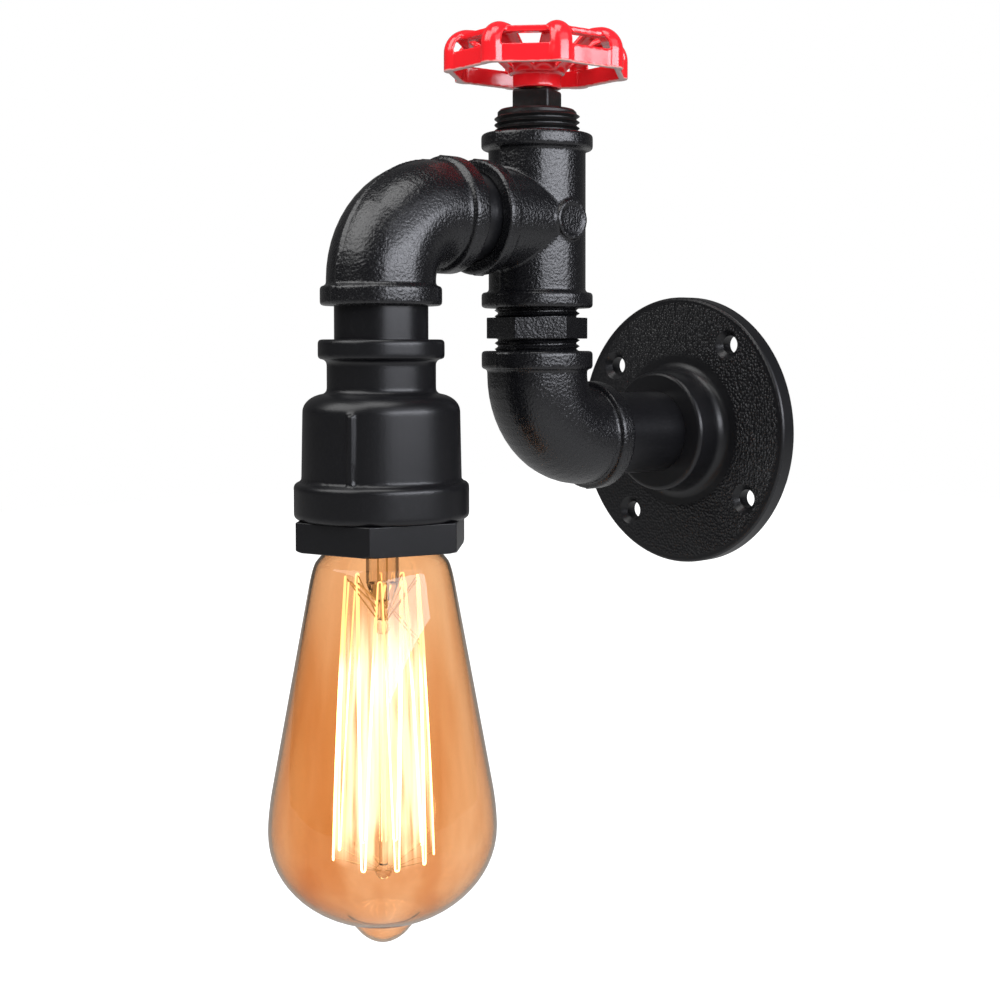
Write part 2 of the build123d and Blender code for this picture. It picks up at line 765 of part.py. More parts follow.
# --- Stem -------------------------------------------------------------------------------
drive_top = hub_top - seat_gap

with BuildPart() as valve_stem:
    ring(riser_y, 0, stem_r, stem_low, hub_low)
    ring(riser_y, 0, stem_collar_r, stem_low, stem_low + stem_collar)
    with BuildSketch(Plane(origin=(0, riser_y, hub_low))):
        Rectangle(drive_side, drive_side)
    extrude(amount=drive_top - hub_low)
    ring(riser_y, 0, wheel_screw_r, hub_top - wheel_screw_length, hub_top, Mode.SUBTRACT)
valve_stem.part.label = "valve_stem"

# --- Handwheel ----------------------------------------------------------------------------
rim_low = hub_low + wheel_rim_rise
spoke_top = hub_low + spoke_top_rise
ring_top = spoke_top - wheel_ring_drop
ring_low = ring_top - wheel_wall
spoke_outer_r = wheel_corner_r - wheel_wall / 2
half_turn = 180.0 / spoke_count
band_flats_r = wheel_corner_r * cos(radians(half_turn))
web_z = hub_top - wheel_web / 2


def radial_plane(angle):
    """The upright plane through the wheel's axis at this angle: x outwards, y up."""
    return Plane(
        origin=(0, riser_y, 0),
        x_dir=(cos(radians(angle)), sin(radians(angle)), 0),
        z_dir=(sin(radians(angle)), -cos(radians(angle)), 0),
    )


def spoke(angle):
    """One half-round spoke, from the rim's edge over its shoulder and down to the hub."""
    with BuildLine(radial_plane(angle)) as line:
        FilletPolyline(
            (spoke_outer_r, rim_low), (spoke_outer_r, spoke_top - wheel_wall / 2),
            (spoke_top_r - wheel_wall, spoke_top - wheel_wall / 2), (wheel_hub_r, web_z),
            radius=spoke_shoulder,
        )
    way = line.wires()[0]
    across = (-sin(radians(angle)), cos(radians(angle)), 0)
    with BuildSketch(Plane(origin=way @ 0, x_dir=across, z_dir=way % 0)) as section:
        with BuildLine():
            outer_side = ThreePointArc((-spoke_width / 2, 0), (0, -spoke_crown), (spoke_width / 2, 0))
            Line(outer_side @ 1, (spoke_width / 2, wheel_wall / 2))
            ThreePointArc((spoke_width / 2, wheel_wall / 2), (0, wheel_wall / 2 - spoke_crown / 2),
                          (-spoke_width / 2, wheel_wall / 2))
            Line((-spoke_width / 2, wheel_wall / 2), outer_side @ 0)
        make_face()
    sweep(section.sketch, path=way)


with BuildPart() as handwheel:
    with BuildSketch(Plane(origin=(0, riser_y, rim_low))) as band_corners:
        RegularPolygon(band_flats_r, spoke_count, major_radius=False, rotation=spoke_phase)
        fillet(band_corners.vertices(), radius=wheel_band_round)
        offset(amount=-wheel_wall, mode=Mode.SUBTRACT)
    extrude(amount=wheel_band)
    with BuildSketch(Plane(origin=(0, riser_y, ring_low))):
        RegularPolygon(wheel_ring_flats_r, spoke_count, major_radius=False, rotation=spoke_phase)
        RegularPolygon(wheel_ring_flats_r - wheel_ring_width, spoke_count, major_radius=False,
                       rotation=spoke_phase, mode=Mode.SUBTRACT)
    extrude(amount=wheel_wall)
    for number in range(spoke_count):
        spoke(spoke_phase + number * 360 / spoke_count)
    ring(riser_y, 0, wheel_web_r, hub_top - wheel_web, hub_top)
    ring(riser_y, 0, wheel_hub_r, hub_low, hub_top)
    with BuildSketch(Plane(origin=(0, riser_y, hub_low))):
        Rectangle(drive_side + 2 * drive_fit, drive_side + 2 * drive_fit)
    extrude(amount=wheel_hub_height, mode=Mode.SUBTRACT)
handwheel.part.label = "handwheel"

# --- Washer and screw that hold the wheel ---------------------------------------------------
with BuildPart() as wheel_washer_piece:
    ring(riser_y, wheel_screw_r + seat_gap, wheel_washer_r, hub_top, hub_top + wheel_washer)
wheel_washer_piece.part.label = "wheel_washer"

head_low = hub_top + wheel_washer

with BuildPart() as wheel_screw:
    ring(riser_y, 0, wheel_screw_r - wheel_screw_fit, head_low - wheel_screw_length, head_low)
    ring(riser_y, 0, wheel_head_r, head_low, head_low + wheel_head)
    fillet(wheel_screw.faces().sort_by(Axis.Z)[-1].edges(), radius=wheel_head_round)
    with BuildSketch(Plane(origin=(0, riser_y, head_low + wheel_head))):
        Rectangle(2 * wheel_head_r, wheel_slot, rotation=spoke_phase)
    extrude(amount=-wheel_head / 2, mode=Mode.SUBTRACT)
wheel_screw.part.label = "wheel_screw"


# --- Bulb -------------------------------------------------------------------------------------
def down(depth):
    """Height of a place on the bulb that lies this far below its contact."""
    return contact_z - depth


cap_low = down(cap_down + cap_length)
bulb_tip = down(bulb_length)

with BuildPart() as cap_contact:
    ring(drop_y, 0, contact_r, down(contact_height), contact_z)
    fillet(cap_contact.faces().sort_by(Axis.Z)[-1].edges(), radius=contact_height / 2)
cap_contact.part.label = "cap_contact"

with BuildPart() as cap_insulator:
    lathe(
        [(0, down(contact_height)), (insulator_top_r, down(contact_height)),
         (cap_r - 2 * cap_wall, down(cap_down)), (cap_r - 2 * cap_wall, down(cap_down + cap_wall)),
         (0, down(cap_down + cap_wall))],
        drop_y,
    )
cap_insulator.part.label = "cap_insulator"

with BuildPart() as bulb_cap:
    ring(drop_y, cap_r - cap_wall, cap_r, cap_low, down(cap_down))
bulb_cap.part.label = "bulb_cap"


def glass_body(inset, mode=Mode.ADD):
    """The bulb's whole body of revolution, from the cap to the tip, smaller by inset."""
    glass_top = cap_low + cap_tuck
    belly_z = down(bulb_max_down)
    dome_x = bulb_max_r - bulb_dome_r
    dome_angle = degrees(acos((tip_start_r - dome_x) / bulb_dome_r))
    with BuildSketch(section_plane) as half:
        with BuildLine():
            Line((neck_r - inset, glass_top), (neck_r - inset, cap_low))
            slope = Vector(slope_low_r - slope_top_r, slope_top_down - slope_low_down)
            Spline(
                (neck_r - inset, cap_low), (neck_flare_r - inset, down(neck_flare_down)),
                (slope_top_r - inset, down(slope_top_down)),
                tangents=[(1, -1), slope.normalized()],
            )
            Line((slope_top_r - inset, down(slope_top_down)),
                 (slope_low_r - inset, down(slope_low_down)))
            Spline((slope_low_r - inset, down(slope_low_down)), (bulb_max_r - inset, belly_z),
                   tangents=[slope.normalized(), (0, -1)])
            dome = CenterArc((dome_x, belly_z), bulb_dome_r - inset, 0, -dome_angle)
            Spline(
                dome @ 1, (tip_mid_r - inset / 2, down(tip_mid_down) + inset / 2),
                (0, bulb_tip + inset),
                tangents=[dome % 1, (-1, 0)],
            )
            Polyline((0, bulb_tip + inset), (0, glass_top), (neck_r - inset, glass_top))
        make_face()
    revolve(half.sketch, axis=drop_axis, mode=mode)


with BuildPart() as bulb_glass:
    glass_body(0)
    glass_body(glass_wall, Mode.SUBTRACT)
bulb_glass.part.label = "bulb_glass"

# --- Glass mount inside the bulb: flare, tube, press and rod -------------------------------
flare_z = cap_low + cap_tuck / 2
flare_r = neck_r - glass_wall - seat_gap
tube_bore_r = mount_tube_r - glass_wall
press_z = down(mount_press_down)

with BuildPart() as bulb_mount:
    lathe(
        [(tube_bore_r, flare_z), (flare_r, flare_z), (flare_r, flare_z - glass_wall),
         (mount_tube_r, flare_z - mount_tube_r), (mount_tube_r, press_z + mount_tube_r),
         (mount_press_r, press_z), (mount_rod_r, press_z - glass_wall),
         (mount_rod_r, down(low_bead_down)), (0, down(low_bead_down)),
         (0, press_z + mount_tube_r), (tube_bore_r, press_z + mount_tube_r)],
        drop_y,
    )
    for bead_z in (down(top_bead_down), down(low_bead_down)):
        with BuildSketch(section_plane):
            with BuildLine():
                CenterArc((0, bead_z), bead_glass_r, -90, 180)
                Line((0, bead_z - bead_glass_r), (0, bead_z + bead_glass_r))
            make_face()
        revolve(axis=drop_axis)
    with Locations(Plane(origin=(0, drop_y, press_z + mount_tube_r))):
        with Locations((-lead_x, 0), (lead_x, 0)):
            Hole(lead_r + thread_fit, depth=mount_tube_r + glass_wall + bead_glass_r)
bulb_mount.part.label = "bulb_mount"

# --- Filament, its hooks and its lead wires -------------------------------------------------
step_angle = cage_sweep / (2 * cage_hooks)
first_angle = 90 - cage_sweep / 2


def cage_point(step, aside, inward=0.0):
    """A place on the filament's cage: even steps are above, odd ones below."""
    lower = step % 2 == 1
    around_r = cage_low_r if lower else cage_top_r
    angle = radians(first_angle + step * step_angle) + aside / around_r
    depth = cage_low_down if lower else cage_top_down
    return Vector(
        (around_r - inward) * cos(angle), drop_y + (around_r - inward) * sin(angle), down(depth)
    )


last_step = 2 * cage_hooks
filament_points = [cage_point(0, 0)]
for step in range(1, last_step):
    filament_points.append(cage_point(step, -filament_turn_width / 2))
    filament_points.append(cage_point(step, filament_turn_width / 2))
filament_points.append(cage_point(last_step, 0))

with BuildPart() as filament:
    with BuildLine() as cage_line:
        FilletPolyline(*filament_points, radius=filament_turn_r)
    cage_way = cage_line.wires()[0]
    with BuildSketch(Plane(origin=cage_way @ 0, z_dir=cage_way % 0)):
        Circle(filament_r)
    sweep(path=cage_way)
filament.part.label = "filament"
print("filament length", round(cage_way.length, 1),
      "least gap to itself", round(filament_turn_width - 2 * filament_r, 2))

with BuildPart() as filament_hooks:
    for step in range(1, last_step):
        bead_z = down(low_bead_down if step % 2 == 1 else top_bead_down)
        hook_end = cage_point(step, 0, hook_r + filament_r + hook_gap)
        from_bead = hook_end - Vector(0, drop_y, bead_z)
        hook_start = Vector(0, drop_y, bead_z) + from_bead.normalized() * (bead_glass_r + thread_fit)
        with BuildSketch(Plane(origin=hook_start, z_dir=from_bead)):
            Circle(hook_r)
        extrude(amount=(hook_end - hook_start).length)
filament_hooks.part.label = "filament_hooks"

with BuildPart() as lead_wires:
    for side, step in ((-1, last_step), (1, 0)):
        lead_end = cage_point(step, 0, lead_r + filament_r + hook_gap)
        press_exit = Vector(side * lead_x, drop_y, press_z - glass_wall - bead_glass_r)
        with BuildLine() as lead_line:
            FilletPolyline((side * lead_x, drop_y, down(cap_down + 2 * cap_wall)), press_exit,
                           lead_end, radius=2 * lead_r)
        lead_way = lead_line.wires()[0]
        with BuildSketch(Plane(origin=lead_way @ 0, z_dir=lead_way % 0)):
            Circle(lead_r)
        sweep(path=lead_way)
lead_wires.part.label = "lead_wires"

# --- Written pieces ---------------------------------------------------------------------------
pieces = [
    wall_flange, wall_nipple, lower_elbow, hex_nipple, tee, branch_nipple, upper_elbow,
    drop_nipple, bell_reducer, holder_nut, holder_gasket, earth_tag, lampholder_body,
    screw_shell, centre_contact, contact_rivets, live_terminal, neutral_terminal,
    terminal_screws, wires["live_wire"], wires["neutral_wire"], wires["earth_wire"], wire_tips,
    valve_plug, stem_packing, valve_stem, handwheel, wheel_washer_piece, wheel_screw,
    cap_contact, cap_insulator, bulb_cap, bulb_glass, bulb_mount, lead_wires, filament_hooks,
    filament,
]
for piece in pieces:
    export_step(piece.part, f"parts/{piece.part.label}.step")
    print(piece.part.label, len(piece.part.solids()), round(piece.part.volume, 1))
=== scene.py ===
# %% [markdown]
# # A wall light made of pipe fittings
# The real light is screwed together from cast iron elbows, a tee, short pieces of pipe and a
# bell reducer that holds the lamp. Its solid model comes in as a frame at its real size, in
# metres, with the wall at y = 0 and up along Z. Everything made below is placed in that frame.
# The riser carries the wheel, and the drop carries the bulb: most pieces lie round one of them.
# %% Load the light's solid model
from math import cos, pi, radians, sin

import bpy
from mathutils import Matrix, Vector


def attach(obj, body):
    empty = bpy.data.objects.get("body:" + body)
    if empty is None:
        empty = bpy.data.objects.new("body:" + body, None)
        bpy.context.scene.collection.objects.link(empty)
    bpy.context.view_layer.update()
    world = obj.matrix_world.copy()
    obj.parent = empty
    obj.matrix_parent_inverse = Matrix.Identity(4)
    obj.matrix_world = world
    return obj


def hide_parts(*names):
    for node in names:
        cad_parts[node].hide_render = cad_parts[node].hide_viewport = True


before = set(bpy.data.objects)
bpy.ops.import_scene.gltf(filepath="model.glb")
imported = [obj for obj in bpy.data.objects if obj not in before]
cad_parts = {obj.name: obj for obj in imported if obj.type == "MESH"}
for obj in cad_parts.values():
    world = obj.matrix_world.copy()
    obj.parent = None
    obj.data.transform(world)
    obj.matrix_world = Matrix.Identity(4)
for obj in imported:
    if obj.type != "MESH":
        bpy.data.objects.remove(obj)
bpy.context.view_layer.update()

mm = 0.001
RISER_Y, DROP_Y = -71.0, -131.8
RISER = Vector((0, RISER_Y * mm, 0))
DROP = Vector((0, DROP_Y * mm, 0))
UP = (0, 0, 1)

# %% [markdown]
# The camera comes first, because every later choice is judged through it. The light was seen
# from its right and slightly from above, with a normal lens. The matrix below is built from the
# three directions of the view: to the right, upwards, and back towards the photographer.
# %% Camera
view_turn = radians(45.2)
view_tilt = radians(2.1)
camera_place = (0.3569, -0.41465, 0.0289)
view_right = Vector((cos(view_turn), sin(view_turn), 0))
view_back = Vector((sin(view_turn), -cos(view_turn), 0))
view_ahead = (-view_back * cos(view_tilt) - Vector((0, 0, sin(view_tilt)))).normalized()
view_up = view_right.cross(view_ahead)

camera_data = bpy.data.cameras.new("camera")
camera_data.sensor_width = 36
camera_data.lens = 57.9
camera_data.shift_x = -0.062
camera_data.shift_y = -0.097
camera_data.clip_start = 0.01
camera = bpy.data.objects.new("camera", camera_data)
bpy.context.scene.collection.objects.link(camera)
turn = Matrix((view_right, view_up, -view_ahead)).transposed()
camera.matrix_world = Matrix.Translation(camera_place) @ turn.to_4x4()
bpy.context.scene.camera = camera
print("camera looks along", [round(c, 3) for c in view_ahead])

# %% [markdown]
# Black gloss paint shows nothing but what it reflects, so the lamps are large soft boxes.
# The main one is low and wide, stands to the right of the camera and draws the bright bands
# down the pipes; a dimmer one over it lets them fade out upwards. A weaker one at the front
# left and a small one above lift the other side. None is seen itself, straight or through glass.
# %% Soft boxes
light_middle = Vector((0, -0.095, 0.03))


def soft_box(name, angle, height, distance, width, tall, power, colour=(1, 1, 1)):
    """A rectangular lamp that faces the light from an angle round it and above it."""
    place = light_middle + distance * Vector((
        cos(radians(angle)) * cos(radians(height)), sin(radians(angle)) * cos(radians(height)),
        sin(radians(height))))
    lamp_data = bpy.data.lights.new(name, "AREA")
    lamp_data.shape = "RECTANGLE"
    lamp_data.size = width
    lamp_data.size_y = tall
    lamp_data.energy = power
    lamp_data.color = colour
    lamp = bpy.data.objects.new(name, lamp_data)
    lamp.rotation_euler = (light_middle - place).to_track_quat("-Z", "Y").to_euler()
    lamp.location = place
    lamp.visible_camera = False
    lamp.visible_transmission = False
    bpy.context.scene.collection.objects.link(lamp)
    print(name, "at", [round(c, 2) for c in place])


cool = (0.90, 0.92, 1.0)
soft_box("box_right", 1, 13, 1.0, 1.30, 0.32, 10.0, cool)
soft_box("box_right_high", 1, 36, 1.0, 1.20, 0.46, 1.8, cool)
soft_box("box_front_left", -108, 42, 1.1, 1.0, 0.8, 7.5)
soft_box("box_above", -60, 75, 0.9, 0.5, 0.5, 2.5)

# %% [markdown]
# ## Wiring nodes
# World and finishes are node trees. Nearly all of them are made of the same few steps: read a
# place, make noise, map a range onto another, do a sum, blend two colours. Each step is a short
# function that gives back its output, so that one step can be handed straight to the next.
# Places in nodes are Object coordinates, which are in metres like the frame.
# %% Node steps
def feed(node, inputs):
    """Give each input a plain value, three numbers for a colour, or another node's output."""
    for label, value in inputs:
        socket = node.inputs[label]
        if isinstance(value, bpy.types.NodeSocket):
            node.id_data.links.new(value, socket)
        else:
            socket.default_value = (*value, 1) if socket.type == "RGBA" else value
    return node


def add_node(tree, kind, inputs=(), **settings):
    """Add a node, choose its settings, and feed its inputs."""
    node = tree.nodes.new(kind)
    for label, value in settings.items():
        setattr(node, label, value)
    return feed(node, inputs)


def ranged(tree, value, start, end, low=0.0, high=1.0):
    """Map a value from one range onto another, held at both ends."""
    return add_node(tree, "ShaderNodeMapRange", [
        ("Value", value), ("From Min", start), ("From Max", end), ("To Min", low),
        ("To Max", high)]).outputs["Result"]


def reckon(tree, operation, first, second):
    """One sum with two numbers."""
    return add_node(tree, "ShaderNodeMath", [(0, first), (1, second)],
                    operation=operation).outputs[0]


def along(tree, place, direction):
    """How far a place lies along a direction."""
    return add_node(tree, "ShaderNodeVectorMath", [(0, place), (1, direction)],
                    operation="DOT_PRODUCT").outputs["Value"]


def noise(tree, place, scale, detail=2.0, roughness=0.5):
    """Soft random values that change over a place."""
    return add_node(tree, "ShaderNodeTexNoise", [
        ("Vector", place), ("Scale", scale), ("Detail", detail),
        ("Roughness", roughness)]).outputs["Fac"]


def stretched(tree, place, scale):
    """A place scaled by its own amount in each direction, which draws a pattern out."""
    return add_node(tree, "ShaderNodeMapping",
                    [("Vector", place), ("Scale", scale)]).outputs["Vector"]


def blend(tree, share, first, second):
    """A colour between two others."""
    return add_node(tree, "ShaderNodeMix", [("Factor", share), ("A", first), ("B", second)],
                    data_type="RGBA").outputs["Result"]


# %% [markdown]
# The background is plain white. The world is white for rays that come from the camera or
# through glass. For rays that bounce off gloss it is a nearly black room, a little lighter
# behind the light than in front of it, which keeps black paint black. Everything else gets a
# soft light that is stronger from above than from the sides. The floor is a sheet of paper far
# below: it looks white as well, and throws a little light back up.
# %% World and floor
def seen_white(tree, through):
    """1 for the eye and, times through, for a straight look through glass; 0 in reflections."""
    ray = add_node(tree, "ShaderNodeLightPath").outputs
    unbent = reckon(tree, "LESS_THAN", ray["Glossy Depth"], 0.5)
    glass_ray = reckon(tree, "MULTIPLY", ray["Is Transmission Ray"], unbent)
    total = add_node(tree, "ShaderNodeMath", [
        (0, glass_ray), (1, through), (2, ray["Is Camera Ray"])], operation="MULTIPLY_ADD")
    return total.outputs[0], ray["Is Glossy Ray"]


def background(strength):
    """White light from the world, of a strength that may change with the direction."""
    return add_node(sky, "ShaderNodeBackground",
                    [("Color", (1, 1, 1)), ("Strength", strength)]).outputs[0]


world = bpy.data.worlds.new("studio")
bpy.context.scene.world = world
world.use_nodes = True
sky = world.node_tree
sky.nodes.clear()
direction = add_node(sky, "ShaderNodeTexCoord").outputs["Generated"]
wall_share = ranged(sky, along(sky, direction, (-0.70, 0.70, -0.1)), 0.15, 0.95, 0.02, 0.12)
from_above = ranged(sky, along(sky, direction, UP), -0.1, 0.6, 0.35, 0.90)
seen, bounced = seen_white(sky, 1.0)
bounce = add_node(sky, "ShaderNodeMixShader", [
    ("Fac", bounced), (1, background(from_above)), (2, background(wall_share))])
final = add_node(sky, "ShaderNodeMixShader", [
    ("Fac", seen), (1, bounce.outputs[0]), (2, background(1.0))])
add_node(sky, "ShaderNodeOutputWorld", [("Surface", final.outputs[0])])

floor_height = -0.45
bpy.ops.object.select_all(action="DESELECT")
bpy.ops.mesh.primitive_plane_add(size=8, location=(0, 0, floor_height))
floor = bpy.context.object
floor.name = "floor"
paper = bpy.data.materials.new("paper")
paper.use_nodes = True
feed(paper.node_tree.nodes["Principled BSDF"], [
    ("Base Color", (0.35, 0.35, 0.35)), ("Roughness", 0.9), ("Emission Color", (1, 1, 1)),
    ("Emission Strength", seen_white(paper.node_tree, 0.80)[0])])
floor.data.materials.append(paper)
bpy.context.scene.view_settings.view_transform = "Standard"
print("floor", round(floor.location.z, 2), "m below the flange's centre")

# %% [markdown]
# ## Finishes
# Paint over a sand casting has two sizes of unevenness: fine grain from the sand and slow
# waves where the paint has drawn together. Both are made from noise in the object's own
# coordinates, in a group that hands out a height and a mask of the grain's tops. The same
# group serves every casting, with its own sizes.
# %% Cast skin
def new_group(name, inputs, outputs):
    """A shader group with number inputs and outputs; it gives back what goes in and out."""
    group = bpy.data.node_groups.new(name, "ShaderNodeTree")
    for label, value in inputs:
        socket = group.interface.new_socket(label, in_out="INPUT", socket_type="NodeSocketFloat")
        socket.default_value = value
    for label in outputs:
        group.interface.new_socket(label, in_out="OUTPUT", socket_type="NodeSocketFloat")
    print("group", name)
    return group, group.nodes.new("NodeGroupInput").outputs, group.nodes.new("NodeGroupOutput")


cast_skin, given, handed = new_group(
    "cast_skin", [("Grain", 800.0), ("Wave", 120.0), ("Wave share", 0.4)], ["Height", "Tops"])
place = add_node(cast_skin, "ShaderNodeTexCoord").outputs["Object"]
grain = noise(cast_skin, place, given["Grain"], 2.0, 0.45)
wave = noise(cast_skin, place, given["Wave"], 1.0)
mixed = add_node(cast_skin, "ShaderNodeMix",
                 [("Factor", given["Wave share"]), ("A", grain), ("B", wave)])
feed(handed, [("Height", mixed.outputs["Result"]), ("Tops", ranged(cast_skin, grain, 0.56, 0.72))])

# %% [markdown]
# The flange's face has a coarser skin of small pebbles side by side. A smooth Voronoi pattern
# gives such cells. Only the flat of the face has them, so the group reads which way the
# surface points and where it lies: the rim, the boss and the screw holes' cones stay smooth.
# The pebbles stand higher towards the upper right, and there their tops are painted a lighter grey:
# a painted highlight.
# %% Pebble skin
pebble_skin, given, handed = new_group(
    "pebble_skin", [("Pebble", 620.0), ("Inner", 0.0255), ("Outer", 0.0423)], ["Height", "Tops"])
place = add_node(pebble_skin, "ShaderNodeTexCoord").outputs
cells = add_node(pebble_skin, "ShaderNodeTexVoronoi", [
    ("Vector", place["Object"]), ("Scale", given["Pebble"]), ("Smoothness", 0.5),
    ("Randomness", 0.8)], feature="SMOOTH_F1")
round_top = ranged(pebble_skin, cells.outputs["Distance"], 0.62, 0.1)
flat_face = ranged(pebble_skin, along(pebble_skin, place["Normal"], (0, -1, 0)), 0.90, 0.97)
# Towards the upper right the pebbles stand higher and their tops are painted lighter, a painted
# highlight.
raised_highlit_side = ranged(pebble_skin, along(pebble_skin, place["Object"], (0.9, 0, 0.35)),
                   -0.028, 0.022, 0.25)
mask = reckon(pebble_skin, "MULTIPLY", raised_highlit_side, flat_face)
flat_place = add_node(pebble_skin, "ShaderNodeVectorMath",
                      [(0, place["Object"]), (1, (1, 0, 1))], operation="MULTIPLY")
from_middle = add_node(pebble_skin, "ShaderNodeVectorMath",
                       [(0, flat_place.outputs["Vector"])], operation="LENGTH").outputs["Value"]
fade = 0.0006
for edge, outwards in (("Inner", fade), ("Outer", -fade)):
    past = reckon(pebble_skin, "SUBTRACT", from_middle, given[edge])
    mask = reckon(pebble_skin, "MULTIPLY", mask, ranged(pebble_skin, past, -outwards, outwards))
height = reckon(pebble_skin, "MULTIPLY", round_top, mask)
# Tops lightens the pebbles' tops in flange_black: a painted highlight.
feed(handed, [("Height", height), ("Tops", ranged(pebble_skin, height, 0.55, 0.95))])

# %% [markdown]
# Bright turned and drawn metals are never one even tone: fine rings run round them and the
# surface has dulled in patches. This group hands out rings across Z and a slow stain.
# %% Turned metal
turned_metal, given, handed = new_group(
    "turned_metal", [("Ring", 5000.0), ("Stain", 150.0)], ["Height", "Stain"])
place = add_node(turned_metal, "ShaderNodeTexCoord").outputs["Object"]
rings = noise(turned_metal, stretched(turned_metal, place, (0.02, 0.02, 1.0)), given["Ring"], 1.0)
feed(handed, [("Height", rings), ("Stain", noise(turned_metal, place, given["Stain"], 3.0))])

# %% [markdown]
# Each finish is a Principled shader. What is the same all over is set on its own sockets,
# and only what varies comes through nodes: a colour between two tones, a roughness between
# two values, and a bump.
# %% Finish builder and the black paints
def new_material(name, slot=None):
    """An empty material with the slot it stands for, its node tree and its shader."""
    made = bpy.data.materials.new(name)
    made["slot"] = slot or name
    made.use_nodes = True
    print("finish", name)
    return made, made.node_tree, made.node_tree.nodes["Principled BSDF"]


def finish(name, group, sizes, mask, tones, shine, bump, distance=0.0005, **plain):
    """A finish that varies between two tones and two roughnesses by a group's mask."""
    made, tree, shader = new_material(name)
    skin = add_node(tree, "ShaderNodeGroup", sizes, node_tree=group).outputs
    raised = add_node(tree, "ShaderNodeBump", [
        ("Strength", bump), ("Distance", distance), ("Height", skin["Height"])])
    feed(shader, [(label.replace("_", " "), value) for label, value in plain.items()])
    feed(shader, [("Base Color", blend(tree, skin[mask], *tones)),
                  ("Roughness", ranged(tree, skin[mask], 0, 1, *shine)),
                  ("Normal", raised.outputs["Normal"])])
    return made


cast_gloss_black = finish(
    "cast_gloss_black", cast_skin, [("Grain", 1300), ("Wave", 300), ("Wave share", 0.15)], "Tops",
    [(0.004, 0.004, 0.005), (0.006, 0.006, 0.007)], (0.26, 0.36), 0.55, 0.0005,
    Coat_Weight=0.35, Coat_Roughness=0.16)
pipe_black = finish(
    "pipe_black", cast_skin, [("Grain", 1400), ("Wave", 90), ("Wave share", 0.7)], "Tops",
    [(0.004, 0.004, 0.005), (0.005, 0.005, 0.006)], (0.30, 0.38), 0.08, 0.0003)
satin_black = finish(
    "satin_black", cast_skin, [("Grain", 2200), ("Wave", 70), ("Wave share", 0.5)], "Tops",
    [(0.004, 0.004, 0.005), (0.005, 0.005, 0.006)], (0.32, 0.40), 0.06, 0.0003)
plug_black = finish(
    "plug_black", cast_skin, [("Grain", 700), ("Wave", 300), ("Wave share", 0.5)], "Tops",
    [(0.005, 0.005, 0.005), (0.010, 0.010, 0.010)], (0.42, 0.58), 0.45, 0.0006)
# The lighter second tone on the pebbles' tops is a painted highlight, strongest towards the upper
# right.
flange_black = finish(
    "flange_black", pebble_skin, [("Pebble", 1000)], "Tops",
    [(0.006, 0.006, 0.007), (0.055, 0.055, 0.060)], (0.32, 0.22), 0.9, 0.0004)

# %% [markdown]
# The wheel is dipped in thick red enamel. It lies in slow waves, which break up the lamps'
# reflections. Along the rim's lower edge its colour turns pale pink, a painted highlight. The band
# is found by place: low on the wheel and far from its middle, broken up by noise.
# %% Red enamel
RIM_LOW, RIM_INSIDE, RIM_OUTSIDE = 0.1108, 0.019, 0.021
enamel_skin, given, handed = new_group(
    "enamel_skin", [("Wave", 70.0), ("Rim low", RIM_LOW), ("Highlight band", 0.0007)], ["Height", "Rim highlight"])
place = add_node(enamel_skin, "ShaderNodeTexCoord").outputs["Object"]
above = reckon(enamel_skin, "SUBTRACT", along(enamel_skin, place, UP), given["Rim low"])
share = reckon(enamel_skin, "DIVIDE", above, given["Highlight band"])
ragged = reckon(enamel_skin, "ADD", share, noise(enamel_skin, place, 420.0))
around = add_node(enamel_skin, "ShaderNodeVectorMath",
                  [(0, place), (1, (*RISER.xy, RIM_LOW))], operation="DISTANCE")
far = ranged(enamel_skin, around.outputs["Value"], RIM_INSIDE, RIM_OUTSIDE)
# The pale pink band along the rim's lower edge is a painted highlight.
rim_highlight = reckon(enamel_skin, "MULTIPLY", ranged(enamel_skin, ragged, 1.3, 0.7), far)
feed(handed, [("Height", noise(enamel_skin, place, given["Wave"], 1.0)), ("Rim highlight", rim_highlight)])
# The second tone is the pale pink of the painted highlight on the rim's lower edge.
red_enamel = finish(
    "red_enamel", enamel_skin, [], "Rim highlight",
    [(0.93, 0.014, 0.022), (0.86, 0.46, 0.42)], (0.16, 0.34), 0.7, 0.002,
    Coat_Weight=0.8, Coat_Roughness=0.10)

# %% [markdown]
# The inside of the lamp holder is seen only when the bulb is out, from below or from the wall
# side: brass, nickel, zinc and copper, glazed porcelain, and the plastic of the wires.
# %% Metals, porcelain and plastics
brass = finish("brass", turned_metal, [], "Stain",
               [(0.62, 0.42, 0.14), (0.78, 0.58, 0.26)], (0.22, 0.40), 0.1, Metallic=1.0)
stem_brass = finish("stem_brass", turned_metal, [], "Stain",
                    [(0.46, 0.33, 0.13), (0.64, 0.48, 0.22)], (0.25, 0.45), 0.15, Metallic=1.0)
nickel_plate = finish("nickel_plate", turned_metal, [("Stain", 220)], "Stain",
                      [(0.50, 0.47, 0.42), (0.72, 0.69, 0.64)], (0.18, 0.34), 0.08, Metallic=1.0)
zinc_steel = finish("zinc_steel", turned_metal, [("Stain", 260)], "Stain",
                    [(0.44, 0.45, 0.47), (0.68, 0.69, 0.71)], (0.24, 0.42), 0.1, Metallic=1.0)
copper = finish("copper", turned_metal, [("Stain", 300)], "Stain",
                [(0.60, 0.22, 0.10), (0.84, 0.42, 0.24)], (0.22, 0.38), 0.1, Metallic=1.0)
solder = finish("solder", cast_skin, [("Grain", 1200)], "Tops",
                [(0.45, 0.45, 0.46), (0.62, 0.62, 0.63)], (0.30, 0.50), 0.3, Metallic=1.0)
